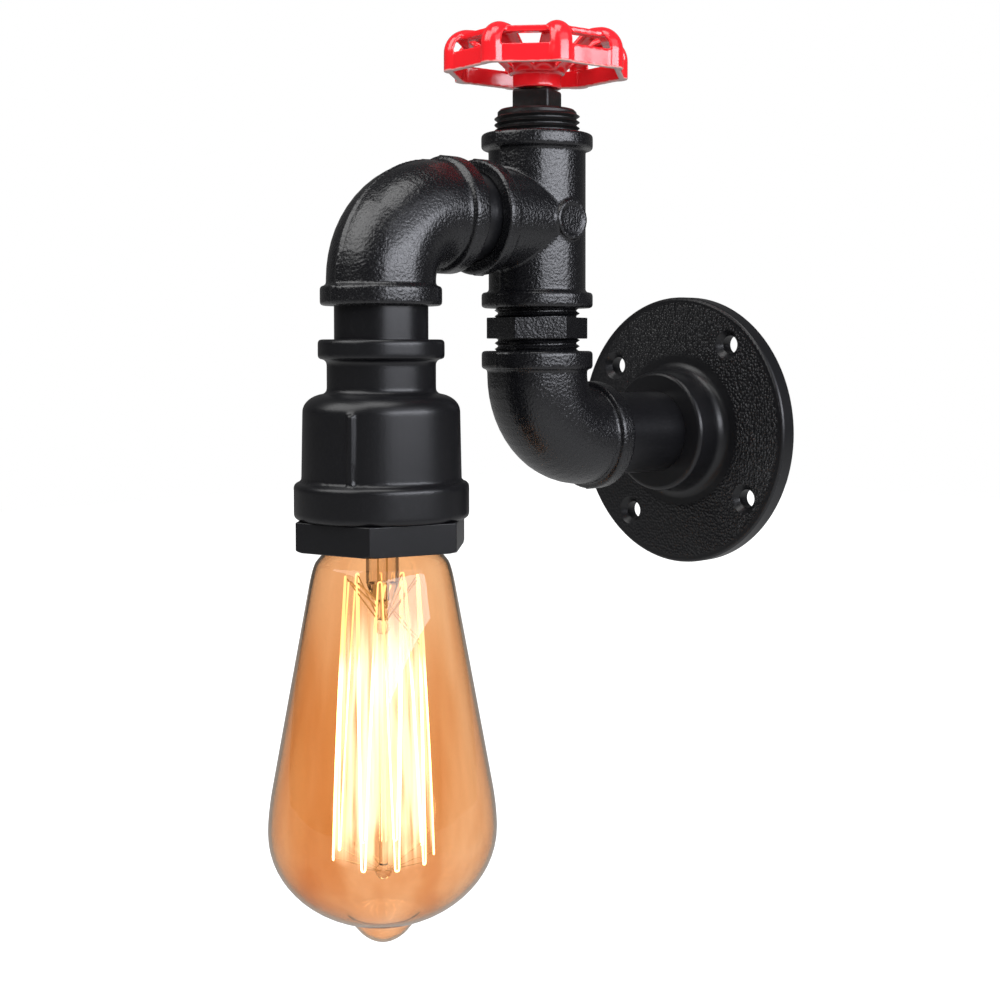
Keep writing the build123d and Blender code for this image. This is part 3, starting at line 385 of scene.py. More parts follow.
# The nickel wires glow faintly orange: the filament's light painted onto the hooks, leads and
# supports, a painted glow.
nickel_wire = finish("nickel_wire", turned_metal, [], "Stain",
                     [(0.30, 0.22, 0.15), (0.48, 0.37, 0.27)], (0.30, 0.45), 0.1, Metallic=1.0,
                     Emission_Color=(1.0, 0.62, 0.25), Emission_Strength=0.45)
porcelain = finish("porcelain", cast_skin, [("Grain", 300), ("Wave", 60)], "Tops",
                   [(0.78, 0.76, 0.70), (0.84, 0.82, 0.77)], (0.10, 0.18), 0.05, Coat_Weight=0.5)
black_glass = finish("black_glass", cast_skin, [("Grain", 600)], "Tops",
                     [(0.020, 0.012, 0.020), (0.04, 0.03, 0.04)], (0.08, 0.16), 0.1)
fibre_washer = finish("fibre_washer", cast_skin, [("Grain", 3000)], "Tops",
                      [(0.26, 0.05, 0.03), (0.36, 0.09, 0.05)], (0.75, 0.9), 0.3)
packing_rubber = finish("packing_rubber", cast_skin, [("Grain", 1500)], "Tops",
                        [(0.02, 0.02, 0.02), (0.04, 0.04, 0.04)], (0.6, 0.8), 0.2)
wire_black, wire_white, wire_green = (
    finish(name, cast_skin, [("Grain", 1200)], "Tops", tones, (0.35, 0.5), 0.08)
    for name, tones in (
        ("wire_black", [(0.018, 0.018, 0.018), (0.03, 0.03, 0.03)]),
        ("wire_white", [(0.70, 0.70, 0.67), (0.78, 0.78, 0.75)]),
        ("wire_green", [(0.04, 0.26, 0.06), (0.07, 0.36, 0.10)])))

# %% [markdown]
# ## Glass and light
# The bulb is tinted by a thin amber lacquer, so light is coloured once on its way in and once
# on its way out. Glass keeps a plain metallic and transmission value; only its tint varies.
# Upright bands across the view, which a Color Ramp holds, deepen and lighten the tint: they are
# painted refraction and reflection, the dark and light tones the glass bends and mirrors from round
# it. The lacquer is thinner towards the neck, and noise that is drawn out upwards gives the streaks
# where it ran.
# %% Amber glass and clear glass
BELLY_R = 0.031
REFRACTION_BANDS = [(0, 0.40), (0.08, 0.45), (0.14, 0.95), (0.22, 1.0), (0.34, 0.6), (0.5, 0.35),
                 (0.68, 0.5), (0.73, 0.75), (0.80, 0.35), (1, 0.25)]
LACQUER_FULL_BELOW, LACQUER_THIN_ABOVE = -0.078, -0.040


def glass(name, tones, streak_scale):
    """Glass with a tint between two tones, by painted refraction bands across the view and by how
    thick the lacquer lies.
    """
    made, tree, shader = new_material(name)
    place = add_node(tree, "ShaderNodeTexCoord").outputs["Object"]
    middle = view_right.dot(DROP)
    across = ranged(tree, along(tree, place, view_right), middle - BELLY_R, middle + BELLY_R)
    # The ramp's bands across the view are painted refraction and reflection, not lacquer.
    refraction_bands = add_node(tree, "ShaderNodeValToRGB", [("Fac", across)])
    points = refraction_bands.color_ramp.elements
    for stop, share in REFRACTION_BANDS:
        point = points[0] if stop == 0 else points[-1] if stop == 1 else points.new(stop)
        point.color = (share, share, share, 1)
    thinning = ranged(tree, along(tree, place, UP), LACQUER_FULL_BELOW, LACQUER_THIN_ABOVE,
                      1.0, 0.15)
    streaks = noise(tree, stretched(tree, place, (1, 1, 0.12)), streak_scale)
    thick = reckon(tree, "ADD", reckon(tree, "MULTIPLY", refraction_bands.outputs["Color"], thinning),
                   ranged(tree, streaks, 0.35, 0.65, -0.16, 0.16))
    feed(shader, [("Transmission Weight", 1.0), ("Roughness", 0.0), ("IOR", 1.45),
                  ("Base Color", blend(tree, thick, *tones))])
    return made


amber_glass = glass("amber_glass", [(0.97, 0.70, 0.48), (0.80, 0.43, 0.19)], 130.0)
clear_glass = glass("clear_glass", [(0.96, 0.93, 0.88), (0.92, 0.88, 0.82)], 90.0)

# %% [markdown]
# The filament glows white where it hangs free and dims towards the cold hooks at its top. A
# glow that is mirrored in the pipes would spread orange specks over them, so Light Path lets
# the eye see it and lets the bulb's own glass mirror it, and turns it black for all else.
# %% Glowing filament
COLD_ABOVE, GLOWS_BELOW = -0.058, -0.068


def seen_straight(tree, colour):
    """A glow's colour where it is seen straight or in its own bulb, and black elsewhere."""
    ray = add_node(tree, "ShaderNodeLightPath").outputs
    bounces = reckon(tree, "ADD", ray["Glossy Depth"], ray["Diffuse Depth"])
    outside = reckon(tree, "SUBTRACT", bounces, ray["Is Reflection Ray"])
    return blend(tree, reckon(tree, "LESS_THAN", outside, 0.5), (0, 0, 0), colour)


filament_lit, tree, shader = new_material("filament_lit")
place = add_node(tree, "ShaderNodeTexCoord").outputs["Object"]
hot = blend(tree, noise(tree, place, 120.0), (1.0, 0.78, 0.42), (1.0, 0.92, 0.70))
cooling = ranged(tree, along(tree, place, UP), GLOWS_BELOW, COLD_ABOVE, 0.0, 0.9)
feed(shader, [
    ("Base Color", (0.02, 0.015, 0.01)), ("Roughness", 0.7), ("Emission Strength", 9.0),
    ("Emission Color", seen_straight(tree, blend(tree, cooling, hot, (0.20, 0.13, 0.05))))])

# %% [markdown]
# The light that seems to hang round the filament is a material of its own: nothing but a faint
# glow, let through by an alpha that runs in upright streaks and fades at both ends.
# %% Glow
GLOW_TOP, GLOW_FULL, GLOW_FADES, GLOW_FOOT = -0.046, -0.066, -0.111, -0.1165
filament_glow, tree, shader = new_material("filament_glow", slot="filament_lit")
place = add_node(tree, "ShaderNodeTexCoord").outputs["Object"]
height = along(tree, place, UP)
streaks = noise(tree, stretched(tree, place, (1, 1, 0.04)), 420.0)
ends = reckon(tree, "MULTIPLY", ranged(tree, height, GLOW_TOP, GLOW_FULL),
              ranged(tree, height, GLOW_FOOT, GLOW_FADES))
feed(shader, [
    ("Base Color", (0, 0, 0)), ("Specular IOR Level", 0.0), ("Emission Strength", 3.2),
    ("Emission Color", seen_straight(
        tree, blend(tree, streaks, (1.0, 0.92, 0.72), (0.95, 0.97, 1.0)))),
    ("Alpha", reckon(tree, "MULTIPLY", ends, ranged(tree, streaks, 0.36, 0.62, 0.0, 0.62)))])

# %% [markdown]
# ## Pieces that are made again
# The solid model's pieces keep their shape and take a finish. Some deserve more: castings have
# soft corners, threads climb, and glass has to be smooth. The helpers below work as a person
# would in edit mode: start from a primitive, then extrude, scale and bevel it.
# %% Helpers for modelling
def deselect():
    """Leave edit mode and select nothing."""
    if bpy.context.object and bpy.context.object.mode != "OBJECT":
        bpy.ops.object.mode_set(mode="OBJECT")
    bpy.ops.object.select_all(action="DESELECT")


def pick(piece):
    """Select one piece and make it active."""
    deselect()
    piece.select_set(True)
    bpy.context.view_layer.objects.active = piece


def apply_place(piece):
    """Move a piece's place, turn and scale into its mesh."""
    pick(piece)
    bpy.ops.object.transform_apply(location=True, rotation=True, scale=True)


def apply_modifiers(piece):
    """Apply all of a piece's modifiers in order."""
    pick(piece)
    for modifier in list(piece.modifiers):
        bpy.ops.object.modifier_apply(modifier=modifier.name)


def edit_all(piece):
    """Enter edit mode with the whole piece selected."""
    pick(piece)
    bpy.ops.object.mode_set(mode="EDIT")
    bpy.ops.mesh.select_all(action="SELECT")


def join(pieces):
    """Join several meshes into the first."""
    deselect()
    for piece in pieces:
        piece.select_set(True)
    bpy.context.view_layer.objects.active = pieces[0]
    bpy.ops.object.join()
    return pieces[0]


def bevel(piece, width, segments, angle):
    """Round a piece's edges with a bevel that is applied."""
    soft = piece.modifiers.new("edges", "BEVEL")
    soft.width = width * mm
    soft.segments = segments
    soft.limit_method = "ANGLE"
    soft.angle_limit = radians(angle)
    soft.use_clamp_overlap = True
    apply_modifiers(piece)


# %% [markdown]
# Every finished piece is settled the same way. Its faces are shaded smooth by the angle between
# them, and where flat faces meet a bevel, Weighted Normal keeps the flats flat. It then takes
# its finish and its slot, rides on its body, and stands for the solid it was made from.
# %% Settling a finished piece
def settle(piece, name, body, finish_made, replaced=(), smooth=40):
    """Name a finished piece, smooth it, give it its finish and let it ride on its body."""
    apply_place(piece)
    bpy.ops.object.shade_smooth_by_angle(angle=radians(smooth))
    if smooth < 90:
        even = piece.modifiers.new("even", "WEIGHTED_NORMAL")
        even.weight = 100
        even.keep_sharp = True
        bpy.ops.object.modifier_apply(modifier=even.name)
    piece.name = name
    piece.data.materials.clear()
    piece.data.materials.append(finish_made)
    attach(piece, body)
    if replaced:
        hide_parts(*replaced)
    print(name, len(piece.data.polygons), "faces")


# %% [markdown]
# Round pieces are turned, as on a lathe. A circle is extruded from point to point of a closed
# outline, and each new ring is scaled to its radius.
# %% Turning on a lathe
def turned(outline, centre, around=96):
    """Turn a closed outline of (radius, height) in millimetres about an upright axis."""
    deselect()
    first_r, first_z = outline[0]
    bpy.ops.mesh.primitive_circle_add(
        vertices=around, radius=first_r * mm, location=(centre.x, centre.y, first_z * mm))
    piece = bpy.context.object
    apply_place(piece)
    edit_all(piece)
    for (r0, z0), (r1, z1) in zip(outline, outline[1:] + outline[:1]):
        bpy.ops.mesh.extrude_region_move(
            TRANSFORM_OT_translate={"value": (0, 0, (z1 - z0) * mm)})
        bpy.ops.transform.resize(
            value=(r1 / r0, r1 / r0, 1), center_override=(centre.x, centre.y, z1 * mm))
    bpy.ops.mesh.select_all(action="SELECT")
    bpy.ops.mesh.remove_doubles(threshold=0.00001)
    bpy.ops.mesh.normals_make_consistent(inside=False)
    bpy.ops.object.mode_set(mode="OBJECT")
    return piece


# %% [markdown]
# A thread is one small ridge that climbs. A triangle is drawn at the thread's root, and the
# Screw modifier winds it up by one pitch a turn. Its two ends are closed, and the fittings
# hide them. It is sunk a little into the core, so no gap shows.
# %% Thread ridge
PIPE_THREAD = {"root_r": 12.1, "depth": 1.05, "pitch": 1.814}
CAP_THREAD = {"root_r": 12.25, "depth": 0.8, "pitch": 3.0}
STEPS_A_TURN = 72


def thread_ridge(root_r, depth, pitch, low, turns, centre, phase=0.0):
    """A helical ridge round an upright axis, as its own closed mesh."""
    deselect()
    bpy.ops.mesh.primitive_circle_add(vertices=3, radius=depth * mm, location=(0, 0, 0))
    piece = bpy.context.object
    outline = [(root_r - 0.15, -0.46 * pitch), (root_r + depth, 0), (root_r - 0.15, 0.46 * pitch)]
    for vertex, (r, z) in zip(piece.data.vertices, outline):
        vertex.co = (r * mm * cos(phase), r * mm * sin(phase), z * mm)
    winding = piece.modifiers.new("winding", "SCREW")
    winding.axis = "Z"
    winding.angle = 2 * pi * turns
    winding.screw_offset = pitch * turns * mm
    winding.steps = winding.render_steps = int(STEPS_A_TURN * turns)
    winding.use_merge_vertices = False
    apply_modifiers(piece)
    pick(piece)
    bpy.ops.object.mode_set(mode="EDIT")
    bpy.ops.mesh.select_all(action="DESELECT")
    bpy.ops.mesh.select_mode(type="EDGE")
    bpy.ops.mesh.select_non_manifold()
    bpy.ops.mesh.fill()
    bpy.ops.mesh.select_all(action="SELECT")
    bpy.ops.mesh.normals_make_consistent(inside=False)
    bpy.ops.mesh.select_mode(type="VERT")
    bpy.ops.object.mode_set(mode="OBJECT")
    piece.location = (centre.x, centre.y, low * mm)
    apply_place(piece)
    bevel(piece, 0.12, 2, 50)
    return piece


# %% [markdown]
# ## Castings
# Sand castings have no sharp corner anywhere, and a thin raised seam runs round each one where
# the two halves of the mould met. The seams are drawn as thin rods on the solid's surface, the
# solid's doubled points are merged, and a Voxel Remesh melts all of it into one skin, which a
# few rounds of smoothing soften.
# %% Copies of solids, melted with their seams
def copied(node):
    """A copy of a solid with a mesh of its own, its doubled points merged."""
    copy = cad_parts[node].copy()
    copy.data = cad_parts[node].data.copy()
    copy.parent = None
    for key in list(copy.keys()):
        del copy[key]
    bpy.context.scene.collection.objects.link(copy)
    edit_all(copy)
    bpy.ops.mesh.remove_doubles(threshold=0.000005)
    bpy.ops.object.mode_set(mode="OBJECT")
    return copy


def rod(start, end, thick):
    """A thin straight rod between two places in millimetres."""
    start, end = Vector(start) * mm, Vector(end) * mm
    deselect()
    bpy.ops.mesh.primitive_cylinder_add(
        vertices=8, radius=thick * mm, depth=(end - start).length, location=(start + end) / 2,
        rotation=(end - start).to_track_quat("Z", "Y").to_euler())
    return bpy.context.object


def bent_rod(start, centre, angle, thick):
    """A thin bent rod in the plane x = 0: a small ring is spun round a centre."""
    start, centre = Vector(start) * mm, Vector(centre) * mm
    deselect()
    outwards = (start - centre).normalized()
    bpy.ops.mesh.primitive_circle_add(
        vertices=8, radius=thick * mm, location=start, fill_type="NGON",
        rotation=Vector((1, 0, 0)).cross(outwards).to_track_quat("Z", "Y").to_euler())
    ring = bpy.context.object
    edit_all(ring)
    bpy.ops.mesh.spin(steps=28, angle=angle, center=centre, axis=(1, 0, 0))
    bpy.ops.mesh.select_all(action="SELECT")
    bpy.ops.mesh.normals_make_consistent(inside=False)
    bpy.ops.object.mode_set(mode="OBJECT")
    return ring


def melted(node, voxel, rounds, seams=()):
    """A solid and its seams, remade as one skin of small voxels and smoothed."""
    piece = join([copied(node), *seams])
    fill = piece.modifiers.new("voxels", "REMESH")
    fill.mode = "VOXEL"
    fill.voxel_size = voxel * mm
    soft = piece.modifiers.new("soft", "SMOOTH")
    soft.factor = 0.5
    soft.iterations = rounds
    apply_modifiers(piece)
    return piece


# %% [markdown]
# The two elbows are one casting, set up and down. The upper one shows a seam over its outer
# bend and across its beads. The lower one shows it across its beads only, and has a web of
# iron in its inner corner, where the mould did not close tightly.
# %% Elbows
ELBOW_REACH, BEND_R, ELBOW_BODY_R, BEAD_R, TEE_Z = 26.8, 19.5, 15.35, 16.95, 66.4
SEAM, BEAD_SEAM = 0.5, 0.4


def bead_seams(y, z, rise):
    """The mould seam across an elbow's two beads."""
    behind, front = ELBOW_REACH - 5.4, ELBOW_REACH - 0.4
    return [
        rod((0, y + behind, z - rise * BEAD_R), (0, y + front, z - rise * BEAD_R), BEAD_SEAM),
        rod((0, y - BEAD_R, z + rise * behind), (0, y - BEAD_R, z + rise * front), BEAD_SEAM),
    ]


def bend_seams(y, z, rise):
    """The mould seam over an elbow's outer bend, from bead to bead."""
    body, behind = ELBOW_BODY_R, ELBOW_REACH - 5.4
    centre = (0, y + BEND_R, z + rise * BEND_R)
    start = (0, y + BEND_R, z - rise * body)
    return [
        bent_rod(start, centre, rise * pi / 2, SEAM),
        rod(start, (0, y + behind, z - rise * body), SEAM),
        rod((0, y - body, z + rise * BEND_R), (0, y - body, z + rise * behind), SEAM),
    ]


def corner_web(y, z, rise):
    """The web of iron in an elbow's inner corner."""
    corner = 17.9
    deselect()
    bpy.ops.mesh.primitive_cube_add(
        size=1, location=(0, (y + corner) * mm, (z + rise * corner) * mm),
        rotation=(-rise * pi / 4, 0, 0), scale=(2.2 * mm, 8.6 * mm, 3.6 * mm))
    web = bpy.context.object
    apply_place(web)
    return web


lower_seams = [*bead_seams(RISER_Y, 0, 1), corner_web(RISER_Y, 0, 1)]
settle(melted("lower_elbow", 0.42, 3, lower_seams), "lower_elbow_casting", "root",
       cast_gloss_black, ["lower_elbow"], 180)
upper_seams = [*bend_seams(DROP_Y, TEE_Z, -1), *bead_seams(DROP_Y, TEE_Z, -1)]
settle(melted("upper_elbow", 0.42, 3, upper_seams), "upper_elbow_casting", "root",
       cast_gloss_black, ["upper_elbow"], 180)

# %% [markdown]
# The tee's mould met in the same upright plane, so its seams run up and down its front, above
# and below the branch, up and down its back, and along the top and bottom of the branch itself.
# %% Tee
TEE_BODY_R, BEHIND, FRONT = 14.85, 22.0, 26.1
tee_seams = []
for side in (1, -1):
    for y, z0, z1, thick in (
            (RISER_Y - TEE_BODY_R, 15.0, BEHIND, SEAM), (RISER_Y + TEE_BODY_R, 0.0, BEHIND, SEAM),
            (RISER_Y - BEAD_R, BEHIND, FRONT, BEAD_SEAM),
            (RISER_Y + BEAD_R, BEHIND, FRONT, BEAD_SEAM)):
        tee_seams.append(rod((0, y, TEE_Z + side * z0), (0, y, TEE_Z + side * z1), thick))
    for r, y0, y1, thick in (
            (TEE_BODY_R, 14.5, BEHIND, SEAM), (BEAD_R, BEHIND, FRONT, BEAD_SEAM)):
        z = TEE_Z + side * r
        tee_seams.append(rod((0, RISER_Y - y0, z), (0, RISER_Y - y1, z), thick))
settle(melted("tee", 0.42, 3, tee_seams), "tee_casting", "root", cast_gloss_black, ["tee"], 180)

# %% [markdown]
# The bell reducer is cast too. It is the smoothest of them, and only its rib and its band's
# edges show that it came out of a mould.
# %% Bell reducer
settle(melted("bell_reducer", 0.50, 3), "bell_reducer_casting", "root", satin_black,
       ["bell_reducer"], 180)

# %% [markdown]
# ## Handwheel
# The wheel is cast, then dipped, so it has even softer corners than the fittings.
# %% Handwheel
settle(melted("handwheel", 0.33, 4), "handwheel_casting", "wheel", red_enamel, ["handwheel"], 180)

# %% [markdown]
# ## Threaded pieces
# The plug that carries the stem is turned from bar. Its core is an outline spun round the axis,
# with the stem's bore and the groove for the packing in it. The thread climbs round the core,
# and a square head with broken corners stands on top.
# %% Valve plug
PIPE_R, PIPE_BORE, STEM_BORE = 13.15, 10.4, 3.28


def prism(sides, flats, low, high, centre, angle):
    """An upright prism with its width across flats, turned by an angle in degrees."""
    deselect()
    bpy.ops.mesh.primitive_cylinder_add(
        vertices=sides, radius=flats / 2 / cos(pi / sides) * mm, depth=(high - low) * mm,
        location=(centre.x, centre.y, (low + high) / 2 * mm), rotation=(0, 0, radians(angle - 90)))
    piece = bpy.context.object
    apply_place(piece)
    return piece


def cut_by(piece, tool, operation):
    """Cut a piece with another shape, which is then thrown away."""
    cut = piece.modifiers.new("cut", "BOOLEAN")
    cut.operation = operation
    cut.object = tool
    apply_modifiers(piece)
    bpy.data.objects.remove(tool)


def bore(piece, radius, centre):
    """Cut a round hole right through a piece along an upright axis."""
    deselect()
    bpy.ops.mesh.primitive_cylinder_add(
        vertices=64, radius=radius * mm, depth=0.4, location=(centre.x, centre.y, 0))
    cut_by(piece, bpy.context.object, "DIFFERENCE")


head = prism(4, 11.9, 99.8, 106.5, RISER, 69.6)
bore(head, STEM_BORE, RISER)
bevel(head, 0.9, 4, 40)
core = turned([(STEM_BORE, 80.9), (PIPE_R, 80.9), (PIPE_R, 92.0), (12.1, 92.9), (12.1, 99.6),
               (11.4, 100.3), (STEM_BORE, 100.3), (STEM_BORE, 98.5), (5.2, 98.5), (5.2, 96.5),
               (STEM_BORE, 96.5)], RISER)
thread = thread_ridge(**PIPE_THREAD, low=91.6, turns=4.1, centre=RISER, phase=2.2)
settle(join([core, thread, head]), "plug_turned", "root", plug_black, ["valve_plug"], 35)

# %% [markdown]
# The hex nipple is one bar of hexagon steel with a thread cut on each end. The hexagon's
# corners are turned off on both faces, which leaves the curved edges that catch the light.
# %% Hex nipple
HEX_LOW, HEX_HIGH = 30.55, 37.0


def turn_corners(piece, centre, radius, low, high, drop):
    """Turn the corners off both faces of a prism, as a lathe does to a hexagon."""
    lens = turned([(0.01, low - 4), (radius - 2.2, low - 4), (radius + drop * 3, low + drop),
                   (radius + drop * 3, high - drop), (radius - 2.2, high + 4), (0.01, high + 4)],
                  centre)
    cut_by(piece, lens, "INTERSECT")


hexagon = prism(6, 27.0, HEX_LOW, HEX_HIGH, RISER, 50.2)
turn_corners(hexagon, RISER, 15.59, HEX_LOW, HEX_HIGH, 0.8)
bore(hexagon, PIPE_BORE, RISER)
bevel(hexagon, 0.25, 2, 25)
core = turned([(PIPE_BORE, 14.8), (PIPE_R, 14.8), (PIPE_R, 26.6), (12.1, 27.4), (12.1, 39.3),
               (PIPE_R, 40.1), (PIPE_R, 51.9), (PIPE_BORE, 51.9)], RISER)
lower_thread = thread_ridge(**PIPE_THREAD, low=26.2, turns=3.0, centre=RISER)
upper_thread = thread_ridge(**PIPE_THREAD, low=36.6, turns=2.6, centre=RISER, phase=1.2)
settle(join([core, lower_thread, upper_thread, hexagon]), "hex_nipple_cut", "root",
       cast_gloss_black, ["hex_nipple"], 35)

# %% [markdown]
# ## Machined pieces with broken edges
# A nut that leaves the machine with sharp edges would cut the hand, so each edge is broken by
# a hair. The copy's coplanar triangles are dissolved first, and a Bevel modifier then finds the
# true edges by their angle.
# %% Edges broken on copies of solids
def edged(node, width, segments):
    """A copy of a solid with each of its true edges bevelled."""
    piece = copied(node)
    edit_all(piece)
    bpy.ops.mesh.dissolve_limited(angle_limit=radians(0.6))
    bpy.ops.object.mode_set(mode="OBJECT")
    bevel(piece, width, segments, 28)
    return piece


for node, name, width, segments, body, made in (
        ("wall_flange", "wall_flange_drilled", 0.35, 3, "root", flange_black),
        ("holder_nut", "holder_nut_milled", 0.45, 3, "root", satin_black),
        ("lampholder_body", "lampholder_fired", 0.3, 2, "root", porcelain),
        ("wall_nipple", "wall_nipple_pipe", 0.3, 2, "root", pipe_black),
        ("branch_nipple", "branch_nipple_pipe", 0.3, 2, "root", pipe_black),
        ("drop_nipple", "drop_nipple_pipe", 0.3, 2, "root", pipe_black),
        ("wheel_screw", "wheel_screw_turned", 0.08, 2, "wheel", zinc_steel),
        ("wheel_washer", "wheel_washer_pressed", 0.12, 2, "wheel", zinc_steel),
        ("valve_stem", "valve_stem_turned", 0.12, 2, "wheel", stem_brass)):
    settle(edged(node, width, segments), name, body, made, [node], 30)

# %% [markdown]
# ## Bulb
# The glass is blown in a mould, so its outline is one smooth curve: a narrow neck that flares,
# a long straight slope, a round belly and a small drawn tip. A Bezier curve holds it with few
# points. It is made a mesh, spun round the bulb's axis, and Solidify gives it its thin wall.
# %% Bulb glass
def bezier(places, resolution):
    """A curve through (place, handle before, handle after), each a place in metres."""
    deselect()
    bpy.ops.curve.primitive_bezier_curve_add(location=(0, 0, 0))
    curve = bpy.context.object
    line = curve.data.splines[0]
    line.bezier_points.add(len(places) - 2)
    for point, (place, before, after) in zip(line.bezier_points, places):
        point.handle_left_type = point.handle_right_type = "FREE"
        point.co, point.handle_left, point.handle_right = place, before, after
    curve.data.resolution_u = resolution
    return curve


bulb_outline = [
    # place (radius, height), handle before, handle after
    ((12.4, -20.5), (12.4, -19.5), (12.4, -22.0)),
    ((12.4, -25.3), (12.4, -24.0), (13.6, -27.2)),
    ((18.7, -32.5), (17.2, -30.4), (19.6, -34.2)),
    ((20.6, -39.5), (20.2, -37.4), (24.1, -58.5)),
    ((31.0, -96.0), (27.6, -77.4), (31.7, -99.8)),
    ((32.3, -108.4), (32.3, -104.4), (32.3, -120.8)),
    ((11.1, -133.4), (22.4, -130.1), (9.7, -133.9)),
    ((7.2, -137.2), (8.4, -135.8), (6.1, -138.6)),
    ((0.0, -141.0), (3.3, -141.0), (-3.3, -141.0)),
]
blown = bezier([[(r * mm, DROP.y, z * mm) for r, z in places] for places in bulb_outline], 14)
bpy.ops.object.convert(target="MESH")
edit_all(blown)
bpy.ops.mesh.spin(steps=144, angle=2 * pi, center=DROP, axis=UP)
bpy.ops.mesh.select_all(action="SELECT")
bpy.ops.mesh.remove_doubles(threshold=0.00002)
bpy.ops.mesh.normals_make_consistent(inside=False)
bpy.ops.object.mode_set(mode="OBJECT")
wall = blown.modifiers.new("wall", "SOLIDIFY")
wall.thickness = 0.8 * mm
wall.offset = -1
apply_modifiers(blown)
settle(blown, "bulb_glass_blown", "bulb_turn", amber_glass, ["bulb_glass"], 60)

# %% [markdown]
# The screw cap is thin sheet that has been rolled: a plain skirt below, then a round thread of
# coarse pitch. Only someone who takes the bulb out will see it.
# %% Bulb cap
cap = turned([(12.6, -25.5), (13.05, -25.5), (13.05, -20.6), (12.3, -19.6), (12.3, -5.4),
              (11.2, -4.5), (10.8, -4.5), (10.8, -5.0), (11.8, -5.8), (11.8, -20.0), (12.6, -20.6)],
             DROP)
rolled = thread_ridge(**CAP_THREAD, low=-18.4, turns=3.9, centre=DROP)
settle(join([cap, rolled]), "bulb_cap_rolled", "bulb_turn", nickel_plate, ["bulb_cap"], 60)

# %% [markdown]
# ## Filament
# The filament is a fine coiled wire that hangs in a cage of long runs between two rings of
# hooks. Each run bows out a little and turns over its hook in a small round loop, so it is a
# Bezier curve with a round bevel, made a mesh. Its places come from the cage's two radii and
# heights and from the angle between neighbouring hooks.
# %% Filament over its hooks
UPPER_RING, LOWER_RING, LOOP, LOOP_RISE, BOW = (10.6, -37.5), (14.3, -116.0), 1.1, 0.9, 0.5
RUNS, RUNS_SPAN, FIRST_HOOK = 18, 340, -80


def hook_place(step, aside):
    """Where the wire passes a hook: even steps are on the upper ring, odd on the lower."""
    r, z = LOWER_RING if step % 2 else UPPER_RING
    angle = radians(FIRST_HOOK + step * RUNS_SPAN / RUNS) + aside / r
    return Vector((r * cos(angle), DROP.y / mm + r * sin(angle), z)) * mm


turns = [hook_place(0, 0)]
for step in range(1, RUNS):
    turns += [hook_place(step, -LOOP / 2), hook_place(step, LOOP / 2)]
turns.append(hook_place(RUNS, 0))
places = []
for number, place in enumerate(turns):
    over = Vector((0, 0, -LOOP_RISE if number % 4 in (1, 2) else LOOP_RISE)) * mm
    handles = [place + over, place + over]
    for side, other in ((0, number - 1), (1, number + 1)):
        if 0 <= other < len(turns) and (turns[other] - place).length > 0.02:
            bow = place - DROP
            bow.z = 0
            handles[side] = place.lerp(turns[other], 0.33) + bow.normalized() * BOW * mm
    places.append((place, *handles))
wire = bezier(places, 6)
wire.data.bevel_depth = 0.26 * mm
wire.data.bevel_resolution = 1
wire.data.use_fill_caps = True
bpy.ops.object.convert(target="MESH")
settle(wire, "filament_coiled", "bulb_turn", filament_lit, ["filament"], 60)

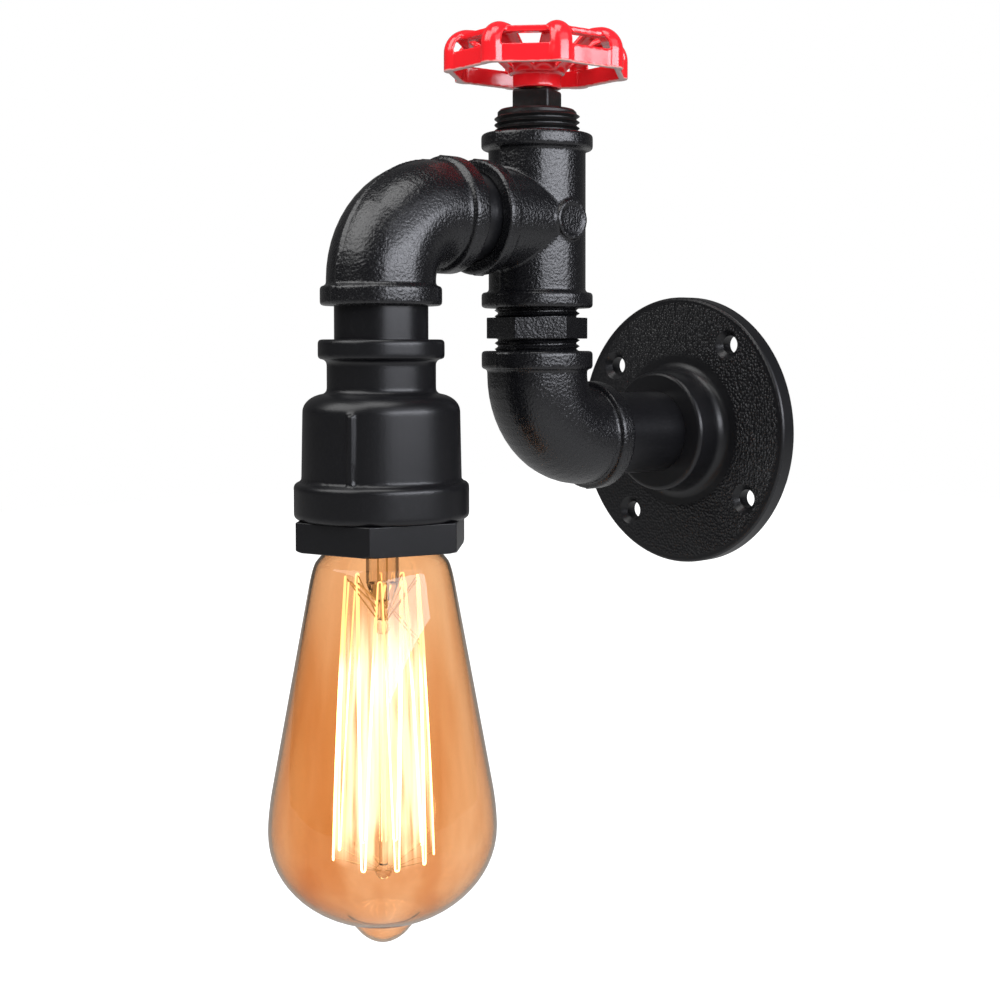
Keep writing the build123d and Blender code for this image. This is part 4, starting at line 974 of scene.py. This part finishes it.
# %% [markdown]
# A lit filament is too bright for the eye: it spreads into a soft curtain of light round the
# cage. The curtain is one thin sheet, almost clear, whose glow comes and goes in upright
# streaks. It is turned as two sheets close together, and the inner one is taken out.
# %% Curtain of light round the cage
TOP_Z, FOOT_Z, TOP_R, FOOT_R = -40, -116.5, 11.2, 14.6
curtain = turned([(TOP_R, TOP_Z), (FOOT_R, FOOT_Z), (FOOT_R - 0.1, FOOT_Z), (TOP_R - 0.1, TOP_Z)],
                 DROP, 72)
bpy.ops.object.mode_set(mode="EDIT")
bpy.ops.mesh.select_all(action="DESELECT")
bpy.ops.object.mode_set(mode="OBJECT")
for vertex in curtain.data.vertices:
    fallen = (TOP_Z - vertex.co.z / mm) / (TOP_Z - FOOT_Z)
    between = TOP_R - 0.05 + fallen * (FOOT_R - TOP_R)
    vertex.select = (vertex.co.xy - DROP.xy).length < between * mm
bpy.ops.object.mode_set(mode="EDIT")
bpy.ops.mesh.delete(type="VERT")
bpy.ops.object.mode_set(mode="OBJECT")
settle(curtain, "filament_glow", "bulb_turn", filament_glow, [], 180)

# %% [markdown]
# Two support wires cross the cage from the end of the glass rod to its right side.
# %% Support wires
REACH = 11.0
supports = [rod((0, DROP_Y, top), (REACH * cos(angle), DROP_Y + REACH * sin(angle), low), 0.17)
            for top, low, angle in ((-42.5, -55.5, 0.79), (-43.8, -56.0, 0.62))]
settle(join(supports), "filament_supports", "bulb_turn", nickel_wire, [], 60)

# %% [markdown]
# ## The remaining pieces
# Pieces whose solid is right keep it. The solids that were made again take a finish as well,
# because they are still in the frame behind the pieces that stand for them.
# %% Finishes for the solids
for made, *nodes in (
        (cast_gloss_black, "lower_elbow", "upper_elbow", "tee"),
        (pipe_black, "wall_nipple", "branch_nipple", "drop_nipple", "hex_nipple"),
        (satin_black, "bell_reducer", "holder_nut"), (plug_black, "valve_plug"),
        (flange_black, "wall_flange"), (red_enamel, "handwheel"),
        (zinc_steel, "wheel_washer", "wheel_screw", "terminal_screws"),
        (brass, "centre_contact", "contact_rivets", "live_terminal", "neutral_terminal"),
        (stem_brass, "valve_stem"), (nickel_plate, "screw_shell", "bulb_cap"),
        (copper, "earth_tag", "wire_tips"), (porcelain, "lampholder_body"),
        (fibre_washer, "holder_gasket"), (packing_rubber, "stem_packing"),
        (wire_black, "live_wire"), (wire_white, "neutral_wire"), (wire_green, "earth_wire"),
        (solder, "cap_contact"), (black_glass, "cap_insulator"), (amber_glass, "bulb_glass"),
        (clear_glass, "bulb_mount"), (nickel_wire, "lead_wires", "filament_hooks"),
        (filament_lit, "filament")):
    for node in nodes:
        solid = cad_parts[node]
        solid.data.materials.clear()
        solid.data.materials.append(made)
    print(made.name, "on", ", ".join(nodes))
